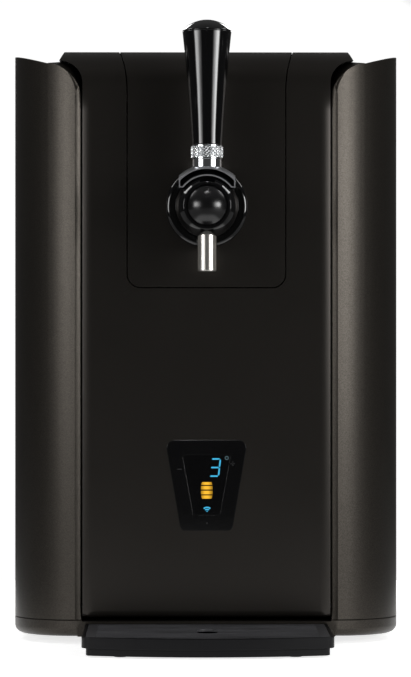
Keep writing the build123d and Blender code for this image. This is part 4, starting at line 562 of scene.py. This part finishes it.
# seven-segment three, leaning to the right, in millimetres
digit_left, digit_low, digit_height, digit_width, lean, stroke = 2.0, 120.3, 13.4, 6.6, 0.11, 1.05
left_inset, right_inset, corner_gap, middle_gap = 0.5, 0.3, 0.9, 0.2


def leaning(x, z):
    """A point of the upright digit, moved to where the leaning one has it."""
    return (digit_left + x + (z - digit_low) * lean, z)


def flat_segment(z):
    """One horizontal segment with pointed ends."""
    half = stroke / 2
    left, right = left_inset, digit_width - right_inset
    return [leaning(*p) for p in ((left, z), (half + left, z - half), (right - half, z - half),
                                  (right, z), (right - half, z + half), (half + left, z + half))]


def upright_segment(low, high):
    """One vertical segment with pointed ends on the digit's right side."""
    half = stroke / 2
    return [leaning(*p) for p in ((digit_width, low), (digit_width + half, low + half),
                                  (digit_width + half, high - half), (digit_width, high),
                                  (digit_width - half, high - half), (digit_width - half, low + half))]


digit_mid = digit_low + digit_height / 2
digit_top = digit_low + digit_height
three = [flat_segment(digit_low + stroke / 2), flat_segment(digit_mid), flat_segment(digit_top - stroke / 2),
         upright_segment(digit_low + corner_gap, digit_mid - middle_gap),
         upright_segment(digit_mid + middle_gap, digit_top - corner_gap)]
blue = lit("blue_diode_light", "#4cc0ee", 0.95)
sign("lit_digit", three, blue)

ring_points, ring_x, ring_z, ring_inner, ring_outer = 24, 14.6, 133.9, 0.95, 1.35
ring = []
for i in range(ring_points):
    a, b = 2 * pi * i / ring_points, 2 * pi * (i + 1) / ring_points
    ring.append([(ring_x + r * cos(t), ring_z + r * sin(t)) for r, t in (
        (ring_inner, a), (ring_outer, a), (ring_outer, b), (ring_inner, b))])
white = lit("white_diode_light", "#8fb4bf", 0.4)
sign("lit_degree_ring", ring, white)

# barrel: four staves of light between dark hoops, rounded at its ends
barrel_x, barrel_mid, barrel_half, half_height, taper = 0.2, 110.5, 4.2, 6, 0.8
barrel = []
for low, high in ((104.6, 106.9), (107.7, 110.3), (111.2, 113.7), (114.5, 116.5)):
    edge = [(barrel_half - taper * abs((z - barrel_mid) / half_height) ** 3, z)
            for z in (low, (low + high) / 2, high)]
    barrel.append([(barrel_x + x, z) for x, z in edge] + [(barrel_x - x, z) for x, z in reversed(edge)])

# Amber diode light through the same mask, shaded off to both sides so that the barrel looks round.
gold, tree, place = new_material("amber_diode_light")
parts = add(tree, "ShaderNodeSeparateXYZ", {0: place})
aside = add(tree, "ShaderNodeMath", {0: parts.outputs["X"]}, operation="ABSOLUTE")
rounded = add(tree, "ShaderNodeMapRange", {"Value": aside.outputs[0], "From Min": 0.0005, "From Max": 0.0046,
                                           "To Min": 1.15, "To Max": 0.4}, interpolation_type="SMOOTHSTEP")
finish_with(tree, add(tree, "ShaderNodeEmission", {
    "Color": linear("#f5b834"), "Strength": rounded.outputs[0]}))
sign("lit_barrel", barrel, gold)

# fan of three arcs over a point
fan_x, fan_foot, fan_start, fan_step, fan_steps = 0.4, 95.0, 45, 15, 6
fan_sign = []
for inner, outer in ((0.0, 0.9), (1.5, 2.3), (2.9, 3.8)):
    for i in range(fan_steps):
        a, b = radians(fan_start + fan_step * i), radians(fan_start + fan_step * (i + 1))
        corners = [(inner, a), (outer, a), (outer, b)] + ([(inner, b)] if inner else [])
        fan_sign.append([(fan_x + r * cos(t), fan_foot + r * sin(t)) for r, t in corners])
sign("lit_fan", fan_sign, blue)

# touch marks beside the window, printed in grey that barely shows
grey_print, tree, place = new_material("grey_screen_print")
edge = add(tree, "ShaderNodeTexNoise", {"Vector": place, "Scale": 1 / 0.0008, "Detail": 2.0})
shade = add(tree, "ShaderNodeMix", {0: edge.outputs[0], 6: linear("#141516"), 7: linear("#1e1f21")},
            data_type="RGBA")
finish_with(tree, add(tree, "ShaderNodeBsdfPrincipled", {"Base Color": shade.outputs[2], "Roughness": 0.4}))
bezel_y, ink_depth = -0.1136, 0.00004
dot, dot_z = 0.6, 87                              # radius and height of the dot, in millimetres
sign("touch_marks", [[(-21.2, 126.2), (-21.2, 125.5), (-17.8, 125.5), (-17.8, 126.2)],
                     [(17.4, 130.2), (17.4, 129.5), (20.4, 129.5), (20.4, 130.2)],
                     [(18.55, 131.4), (18.55, 128.3), (19.25, 128.3), (19.25, 131.4)],
                     [(fan_x + dot * cos(t * pi / 6), dot_z + dot * sin(t * pi / 6)) for t in range(12)]],
     grey_print, bezel_y, ink_depth)

# ---------------------------------------------------------------- lid
# ABS lid in one moulding: the apron in the door's notch, the brow and the top strip, with a
# foam core and a white liner. It turns on two steel pins in the top cover.
dressed("lid_skin", "lid_shell", 0.0004, "lid", "dark_plastic", satin_black)
dressed("lid_inner_tub", "lid_liner", 0.0004, "lid", "pale_plastic", polystyrene)
dressed("lid_core", "lid_foam", 0.0004, "lid", "foam", foam)
dressed("hinge_pins_lid", "lid_hinge_pins", 0.0003, "machine", "steel", zinc)

# Two rubber lips in the top cover close the slot beside the lid's flared top strip.
flare_radius, flare_start, strip_half = 0.0792, 0.399, 0.0568
lip_low, lip_height, lip_steps = 0.4, 0.028, 12
lip_in, lip_out, lip_front, lip_rear = 0.00008, 0.00072, -0.0863, -0.0803
lips = bmesh.new()
for side in (-1, 1):
    rows = []
    for step in range(lip_steps + 1):
        z = lip_low + lip_height * step / lip_steps
        edge = strip_half + flare_radius - sqrt(flare_radius ** 2 - (z - flare_start) ** 2)
        rows.append([lips.verts.new((side * (edge + out), y, z)) for out, y in (
            (lip_in, lip_front), (lip_out, lip_front), (lip_out, lip_rear), (lip_in, lip_rear))])
    for low, high in zip(rows, rows[1:]):
        for i in range(4):
            lips.faces.new((low[i], low[(i + 1) % 4], high[(i + 1) % 4], high[i]))
    lips.faces.new(rows[0])
    lips.faces.new(rows[-1])
bmesh.ops.recalc_face_normals(lips, faces=lips.faces)
own(finished("lid_seal_lips", lips, 0), "machine", "black_rubber", rubber)

# ---------------------------------------------------------------- tap
# Round drum on the apron, a ball body with a flat front, a ring and a domed cap, all moulded
# in gloss black. The stainless spout is pushed in from below; a nut holds the stem inside.
# Stainless steel, brushed along the spout: bright, with fine upright lines
# of 0.1 mm (drawn 0.4 mm).
stainless, tree, place = new_material("brushed_stainless")
stretch = add(tree, "ShaderNodeMapping", {"Vector": place, "Scale": (1 / 0.0004, 1 / 0.0004, 1 / 0.02)})
brushed = add(tree, "ShaderNodeTexNoise", {"Vector": stretch.outputs[0], "Scale": 1.0, "Detail": 4.0})
relief = add(tree, "ShaderNodeBump", {"Height": brushed.outputs[0], "Strength": 0.12, "Distance": 0.0001})
rough = add(tree, "ShaderNodeMapRange", {"Value": brushed.outputs[0], "To Min": 0.24, "To Max": 0.36})
finish_with(tree, add(tree, "ShaderNodeBsdfPrincipled", {
    "Base Color": linear("#d3d0ca"), "Metallic": 1.0, "Roughness": rough.outputs[0],
    "Normal": relief.outputs[0]}))

# ABS, fine-blasted mould, for the dome: the same black with a blurred gloss.
soft_gloss, tree, place = new_material("abs_soft_gloss_black")
haze = add(tree, "ShaderNodeTexNoise", {"Vector": place, "Scale": 1 / 0.006, "Detail": 4.0})
rough = add(tree, "ShaderNodeMapRange", {"Value": haze.outputs[0], "To Min": 0.2, "To Max": 0.26})
shade = add(tree, "ShaderNodeMix", {0: haze.outputs[0], 6: linear("#060607"), 7: linear("#0a0a0b")},
            data_type="RGBA")
finish_with(tree, add(tree, "ShaderNodeBsdfPrincipled", {
    "Base Color": shade.outputs[2], "Roughness": rough.outputs[0], "IOR": 1.53}))

dressed("drum_shell", "tap_drum", 0.0004, "lid", "gloss_black", gloss_black)
dressed("ball_body", "tap_body", 0.0003, "lid", "gloss_black", gloss_black)
dressed("front_ring", "tap_ring", 0.0003, "lid", "gloss_black", gloss_black)
dressed("front_dome", "tap_dome", 0.0002, "lid", "gloss_black", soft_gloss)
dressed("stem_nut", "tap_nut", 0.0003, "lid", "steel", zinc)
dressed("spout_tube", "spout", 0.0003, "lid", "steel", stainless)
dressed("pivot_pin", "lever_pin", 0.0003, "lid", "steel", zinc)

# ---------------------------------------------------------------- lever and handle
# Chromed zinc lever with a hood over the ball, a chrome neck, a knurled steel collar and a
# tapered black handle with a domed cap, all screwed on one steel stud.
# Chrome on polished zinc: mirror bright, slightly uneven under the plating.
chrome, tree, place = new_material("polished_chrome")
wave = add(tree, "ShaderNodeTexNoise", {"Vector": place, "Scale": 1 / 0.008, "Detail": 3.0})
rough = add(tree, "ShaderNodeMapRange", {"Value": wave.outputs[0], "To Min": 0.05, "To Max": 0.13})
relief = add(tree, "ShaderNodeBump", {"Height": wave.outputs[0], "Strength": 0.03, "Distance": 0.0005})
finish_with(tree, add(tree, "ShaderNodeBsdfPrincipled", {
    "Base Color": linear("#d9dadd"), "Metallic": 1.0, "Roughness": rough.outputs[0],
    "Normal": relief.outputs[0]}))

# Chrome on blasted zinc: the same plating over a fine satin grain, grey where it faces the room.
satin_chrome, tree, place = new_material("satin_chrome")
grain = add(tree, "ShaderNodeTexNoise", {"Vector": place, "Scale": 1 / 0.0004, "Detail": 2.0})
rough = add(tree, "ShaderNodeMapRange", {"Value": grain.outputs[0], "To Min": 0.3, "To Max": 0.42})
relief = add(tree, "ShaderNodeBump", {"Height": grain.outputs[0], "Strength": 0.1, "Distance": 0.0001})
finish_with(tree, add(tree, "ShaderNodeBsdfPrincipled", {
    "Base Color": linear("#d2d3d6"), "Metallic": 1.0, "Roughness": rough.outputs[0],
    "Normal": relief.outputs[0]}))

# The hood's skin is satin chrome; its pocket and the web get blackened steel as painted shade, where the
# hollow lies in shadow.
hood = dressed("hood_lever", "tap_lever", 0.0003, "lever", "chrome_metal", satin_chrome)
hood.data.materials.append(shade_blackened_steel)
pivot = Vector((0, -0.145, 0.314))
skin_radius, shaded_pocket_x, shaded_pocket_y, shaded_pocket_floor, shaded_web_radius = 0.0292, 0.0196, 0.0117, 0.0131, 0.0215
# faces inside the pocket and on the web take the painted shade, all others the chrome
for face in hood.data.polygons:
    spot = face.center - pivot
    skin = (spot.length > skin_radius or abs(spot.x) > shaded_pocket_x or abs(spot.y) > shaded_pocket_y
            or spot.z < shaded_pocket_floor)
    face.material_index = 0 if skin and spot.length > shaded_web_radius else 1
dressed("neck_ring", "handle_neck", 0.0003, "lever", "chrome_metal", chrome)
dressed("stud_rod", "handle_stud", 0.0003, "lever", "steel", zinc)
dressed("handle_grip", "tap_handle", 0.0004, "lever", "gloss_black", gloss_black)
dressed("handle_crown", "handle_cap", 0.0003, "lever", "gloss_black", gloss_black)

# Collar: diamond knurl of 1.2 mm pitch (drawn 2.5 mm) rolled into chromed steel, its ends plain.
knurl_tree, given, end = new_tree("knurled_collar", radius=0.01112, height=0.0096, tooth=0.00037,
                                  across=28.0, twist=2400.0, end_land=0.0009)
tube = add(knurl_tree, "GeometryNodeMeshCylinder", {
    "Vertices": 320, "Side Segments": 56, "Radius": given["radius"], "Depth": given["height"]})
where = add(knurl_tree, "GeometryNodeInputPosition")
parts = add(knurl_tree, "ShaderNodeSeparateXYZ", {0: where.outputs[0]})
turn = add(knurl_tree, "ShaderNodeMath", {0: parts.outputs["Y"], 1: parts.outputs["X"]}, operation="ARCTAN2")
around = add(knurl_tree, "ShaderNodeMath", {0: turn.outputs[0], 1: given["across"]}, operation="MULTIPLY")
ridges = []
for hand in ("ADD", "SUBTRACT"):
    climb = add(knurl_tree, "ShaderNodeMath", {0: parts.outputs["Z"], 1: given["twist"]},
                operation="MULTIPLY")
    phase = add(knurl_tree, "ShaderNodeMath", {0: around.outputs[0], 1: climb.outputs[0]}, operation=hand)
    wave = add(knurl_tree, "ShaderNodeMath", {0: phase.outputs[0]}, operation="COSINE")
    ridges.append(wave.outputs[0])
tooth = add(knurl_tree, "ShaderNodeMath", {0: ridges[0], 1: ridges[1]}, operation="MINIMUM")
height = add(knurl_tree, "ShaderNodeMath", {0: tooth.outputs[0], 1: given["tooth"]}, operation="MULTIPLY")
off_middle = add(knurl_tree, "ShaderNodeMath", {0: parts.outputs["Z"]}, operation="ABSOLUTE")
half = add(knurl_tree, "ShaderNodeMath", {0: given["height"], 1: 0.5}, operation="MULTIPLY")
inside = add(knurl_tree, "ShaderNodeMath", {0: half.outputs[0], 1: given["end_land"]}, operation="SUBTRACT")
on_knurl = add(knurl_tree, "ShaderNodeMath", {0: off_middle.outputs[0], 1: inside.outputs[0]},
               operation="LESS_THAN")
rise = add(knurl_tree, "ShaderNodeMath", {0: height.outputs[0], 1: on_knurl.outputs[0]}, operation="MULTIPLY")
flat = add(knurl_tree, "ShaderNodeCombineXYZ", {"X": parts.outputs["X"], "Y": parts.outputs["Y"]})
outward = add(knurl_tree, "ShaderNodeVectorMath", {0: flat.outputs[0]}, operation="NORMALIZE")
shift = add(knurl_tree, "ShaderNodeVectorMath", {0: outward.outputs[0], "Scale": rise.outputs[0]},
            operation="SCALE")
knurled = add(knurl_tree, "GeometryNodeSetPosition", {0: tube.outputs[0], "Offset": shift.outputs[0]})
set_in = add(knurl_tree, "GeometryNodeInstanceOnPoints", {"Points": given["Geometry"],
                                                          "Instance": knurled.outputs[0]})
close_tree(knurl_tree, end, set_in.outputs[0], chromed_steel)
collar_middle = (0, -0.145, 0.3525)
own(grown("knurled_lock_collar", knurl_tree, [collar_middle]), "collar", "steel", chromed_steel,
    "lock_collar")

# ---------------------------------------------------------------- drip tray
# Moulded ABS basin with a rolled rim and a loose plate, ribbed across, with a drain hole.
# Its tongue slides under the base pan and it stands on four rubber pads.
# ABS, textured charcoal: satin, with faint streaks across where glasses are set down.
tray_abs, tree, place = new_material("abs_charcoal_tray")
stretch = add(tree, "ShaderNodeMapping", {"Vector": place, "Scale": (1 / 0.03, 1 / 0.0015, 1 / 0.0015)})
streak = add(tree, "ShaderNodeTexNoise", {"Vector": stretch.outputs[0], "Scale": 1.0, "Detail": 4.0})
shade = add(tree, "ShaderNodeMix", {0: streak.outputs[0], 6: linear("#08080a"), 7: linear("#0e0e10")},
            data_type="RGBA")
rough = add(tree, "ShaderNodeMapRange", {"Value": streak.outputs[0], "To Min": 0.32, "To Max": 0.48})
finish_with(tree, add(tree, "ShaderNodeBsdfPrincipled", {
    "Base Color": shade.outputs[2], "Roughness": rough.outputs[0], "IOR": 1.53,
    "Specular IOR Level": 0.15}))

# The same ABS for the plate, greyer than the basin as a painted sheen on its upward face, with long light
# streaks that run across: partly scratches, partly painted highlight.
plate_abs_with_sheen, tree, place = new_material("abs_plate_scuffs_and_painted_sheen")
stretch = add(tree, "ShaderNodeMapping", {"Vector": place, "Scale": (1 / 0.06, 1 / 0.0012, 1 / 0.0012)})
scuff = add(tree, "ShaderNodeTexNoise", {"Vector": stretch.outputs[0], "Scale": 1.0, "Detail": 5.0})
# the streak mask mixes in the lighter grey: scratches and painted highlight together
scuffs_and_sheen = add(tree, "ShaderNodeMapRange", {"Value": scuff.outputs[0], "From Min": 0.35, "From Max": 0.65})
shade = add(tree, "ShaderNodeMix", {0: scuffs_and_sheen.outputs[0], 6: linear("#28282a"), 7: linear("#4e4e51")},
            data_type="RGBA")
rough = add(tree, "ShaderNodeMapRange", {"Value": scuff.outputs[0], "To Min": 0.3, "To Max": 0.5})
finish_with(tree, add(tree, "ShaderNodeBsdfPrincipled", {
    "Base Color": shade.outputs[2], "Roughness": rough.outputs[0], "IOR": 1.53}))

dressed("tray_basin_shell", "drip_tray", 0.0004, "tray", "tray_plastic", tray_abs)
dressed("tray_feet", "tray_pads", 0.0002, "tray", "black_rubber", rubber)
dressed("ribbed_plate", "drip_plate", 0.00015, "plate", "tray_plastic", plate_abs_with_sheen, segments=1)

# ---------------------------------------------------------------- chamber fittings and air supply
# A steel sensor tip and a nylon air coupler in the chamber's back wall, and a small diaphragm
# pump that feeds the coupler through a silicone hose.
# Platinum-cured silicone: cloudy and clear, slightly yellow, soft sheen.
silicone, tree, place = new_material("clear_silicone")
cloud = add(tree, "ShaderNodeTexNoise", {"Vector": place, "Scale": 1 / 0.01, "Detail": 3.0})
rough = add(tree, "ShaderNodeMapRange", {"Value": cloud.outputs[0], "To Min": 0.25, "To Max": 0.45})
finish_with(tree, add(tree, "ShaderNodeBsdfPrincipled", {
    "Base Color": linear("#dcdcd0"), "Roughness": rough.outputs[0], "IOR": 1.41, "Transmission Weight": 0.5}))

dressed("sensor_probe", "temperature_sensor", 0.0002, "machine", "steel", stainless)
dressed("coupler_body", "air_coupler", 0.0003, "machine", "white_nylon", nylon)
dressed("hose_tube", "air_hose", 0, "machine", "clear_hose", silicone)
dressed("pump_body", "air_pump", 0.0004, "machine", "dark_plastic", pbt)

# ---------------------------------------------------------------- power supply and control board
# A slotted aluminium supply case on the base pan, and the control board on nylon standoffs
# beside the chamber, with a relay, a chip and three capacitors.
dressed("supply_case", "power_supply", 0.0004, "machine", "bare_aluminium", extruded)
dressed("board_posts", "board_standoffs", 0.0002, "machine", "white_nylon", nylon)
dressed("control_electronics", "control_board", 0.0002, "machine", "circuit_board", board)

# ---------------------------------------------------------------- power inlet and switch
# A standard appliance inlet and a rocker switch, both of black PBT, snapped into the rear
# panel low on the left.
dressed("inlet_body", "power_inlet", 0.0003, "machine", "black_plastic", pbt)
dressed("switch_body", "switch_housing", 0.0003, "machine", "black_plastic", pbt)
dressed("switch_rocker", "power_rocker", 0.0004, "rocker", "black_plastic", pbt)

# ---------------------------------------------------------------- floor and backdrop
# A sheet of graded paper lies flat under the machine: white round it and grey further out, so
# that the gloss black parts don't mirror a wide white floor.
paper, tree, place = new_material("graded_paper")
ray = add(tree, "ShaderNodeLightPath")
seen = add(tree, "ShaderNodeMath", {0: ray.outputs["Is Camera Ray"], 1: ray.outputs["Is Glossy Ray"]},
           operation="MAXIMUM")
seen = add(tree, "ShaderNodeMath", {0: seen.outputs[0], 1: ray.outputs["Is Transmission Ray"]},
           operation="MAXIMUM")
parts = add(tree, "ShaderNodeSeparateXYZ", {0: place})
white_half, white_reach, white_middle = 0.23, 0.45, 0.08      # the white part's half sizes and centre
own_glow = 0.75
aside = add(tree, "ShaderNodeMath", {0: parts.outputs["X"], 1: 1 / white_half}, operation="MULTIPLY")
along = add(tree, "ShaderNodeMath", {0: parts.outputs["Y"], 1: 1 / white_reach,
                                     2: -white_middle / white_reach}, operation="MULTIPLY_ADD")
square = [add(tree, "ShaderNodeMath", {0: part.outputs[0], 1: 4.0}, operation="POWER") for part in (
    add(tree, "ShaderNodeMath", {0: aside.outputs[0]}, operation="ABSOLUTE"),
    add(tree, "ShaderNodeMath", {0: along.outputs[0]}, operation="ABSOLUTE"))]
reach = add(tree, "ShaderNodeMath", {0: square[0].outputs[0], 1: square[1].outputs[0]})
pale = add(tree, "ShaderNodeMapRange", {"Value": reach.outputs[0], "From Min": 1.2, "From Max": 3.5,
                                        "To Min": 1.0, "To Max": 0.0}, interpolation_type="SMOOTHSTEP")
fleece = add(tree, "ShaderNodeTexNoise", {"Vector": place, "Scale": 1 / 0.002, "Detail": 3.0})
white_tone = add(tree, "ShaderNodeMix", {0: fleece.outputs[0], 6: linear("#e6e6e6"), 7: linear("#eaeaea")},
                 data_type="RGBA")
tone = add(tree, "ShaderNodeMix", {0: pale.outputs[0], 6: linear("#a6a6a6"), 7: white_tone.outputs[2]},
           data_type="RGBA")
matt = add(tree, "ShaderNodeBsdfDiffuse", {"Color": tone.outputs[2]})
share = add(tree, "ShaderNodeMath", {0: seen.outputs[0], 1: own_glow}, operation="MULTIPLY")
level = add(tree, "ShaderNodeMath", {0: share.outputs[0], 1: pale.outputs[0]}, operation="MULTIPLY")
glow = add(tree, "ShaderNodeEmission", {"Color": linear("#ffffff"), "Strength": level.outputs[0]})
finish_with(tree, add(tree, "ShaderNodeAddShader", {0: matt.outputs[0], 1: glow.outputs[0]}))

sweep = bmesh.new()
paper_half, paper_rear = 1.5, 0.5
corners = [(-paper_half, -paper_half), (paper_half, -paper_half), (paper_half, paper_rear),
           (-paper_half, paper_rear)]
sweep.faces.new([sweep.verts.new((x, y, 0)) for x, y in corners])
mesh = bpy.data.meshes.new("paper")
sweep.to_mesh(mesh)
sweep.free()
mesh.materials.append(paper)
floor = bpy.data.objects.new("paper", mesh)
scene.collection.objects.link(floor)

# ---------------------------------------------------------------- light and camera
# A dim room, brighter overhead, with a white patch straight behind the machine. Low soft boxes at
# half-left and half-right draw the glow of the sides, pairs behind and high up light the back and
# the top, and one narrow lamp sets the glint on the tap's dome.
world = bpy.data.worlds.new("studio")
world.use_nodes = True
scene.world = world
tree = world.node_tree
look = add(tree, "ShaderNodeTexCoord").outputs["Generated"]
sky = add(tree, "ShaderNodeSeparateXYZ", {0: look})
height = add(tree, "ShaderNodeMath", {0: sky.outputs["Z"]}, operation="ABSOLUTE")
ceiling = add(tree, "ShaderNodeMapRange", {"Value": height.outputs[0], "From Min": 0.3, "From Max": 0.95,
                                           "To Min": 0.055, "To Max": 0.2}, interpolation_type="SMOOTHSTEP")
backdrop = add(tree, "ShaderNodeMapRange", {"Value": sky.outputs["Y"], "From Min": 0.9905, "From Max": 0.9922,
                                            "To Min": 0.0, "To Max": 1.02})
level = add(tree, "ShaderNodeMath", {0: ceiling.outputs[0], 1: backdrop.outputs[0]}, operation="MAXIMUM")
tree.nodes["Background"].inputs["Color"].default_value = linear("#ffffff")
tree.links.new(level.outputs[0], tree.nodes["Background"].inputs["Strength"])


def soft_box(name, place, aim, width, height, power, crest=0.5):
    """Area lamp at place that faces aim, brightest at crest, a share of its width, dark at both edges."""
    lamp = bpy.data.lights.new(name, "AREA")
    lamp.shape = "RECTANGLE"
    lamp.size = width
    lamp.size_y = height
    lamp.energy = power
    lamp.use_nodes = True
    tree = lamp.node_tree
    across = add(tree, "ShaderNodeSeparateXYZ", {0: add(tree, "ShaderNodeNewGeometry").outputs["Parametric"]})
    rise = add(tree, "ShaderNodeMapRange", {"Value": across.outputs[0], "From Min": 0.0, "From Max": crest,
                                            "To Min": 0.0, "To Max": 2.0}, interpolation_type="SMOOTHSTEP")
    fall = add(tree, "ShaderNodeMapRange", {"Value": across.outputs[0], "From Min": crest, "From Max": 1.0,
                                            "To Min": 2.0, "To Max": 0.0}, interpolation_type="SMOOTHSTEP")
    both = add(tree, "ShaderNodeMath", {0: rise.outputs[0], 1: fall.outputs[0]}, operation="MINIMUM")
    tree.links.new(both.outputs[0], tree.nodes["Emission"].inputs["Strength"])
    box = bpy.data.objects.new(name, lamp)
    box.location = place
    box.rotation_euler = (Vector(aim) - Vector(place)).to_track_quat("-Z", "Y").to_euler()
    scene.collection.objects.link(box)
    return lamp


for side, power, crest in ((-1, 8, 0.25), (1, 13, 0.75)):
    soft_box("side_box", (side * 1.12, -1.18, 0.45), (0, -0.12, 0.35), 1.1, 0.48, power, crest)
    soft_box("back_box", (side * 0.6, 1.7, 1.1), (0, 0.2, 0.2), 0.5, 0.8, 9)
    soft_box("high_box", (side * 1.3, 0.3, 1.5), (0, 0.1, 0.3), 0.7, 0.7, 6)
soft_box("front_glint", (0, -0.55, 1.25), (0, -0.155, 0.314), 0.3, 0.08, 0.004).spread = radians(6)

picture_width, focal_length, off_centre = 411, 3237, 0.6      # in pixels
camera = bpy.data.cameras.new("camera")
camera.sensor_fit = "HORIZONTAL"
camera.sensor_width = 36
camera.lens = focal_length / picture_width * camera.sensor_width
camera.shift_x = off_centre / picture_width
camera.clip_end = 20
view = bpy.data.objects.new("camera", camera)
view.location = (-0.025, -2.446, 0.22)
view.rotation_euler = (radians(90), 0, radians(-0.586))
scene.collection.objects.link(view)
scene.camera = view
scene.view_settings.view_transform = "Standard"
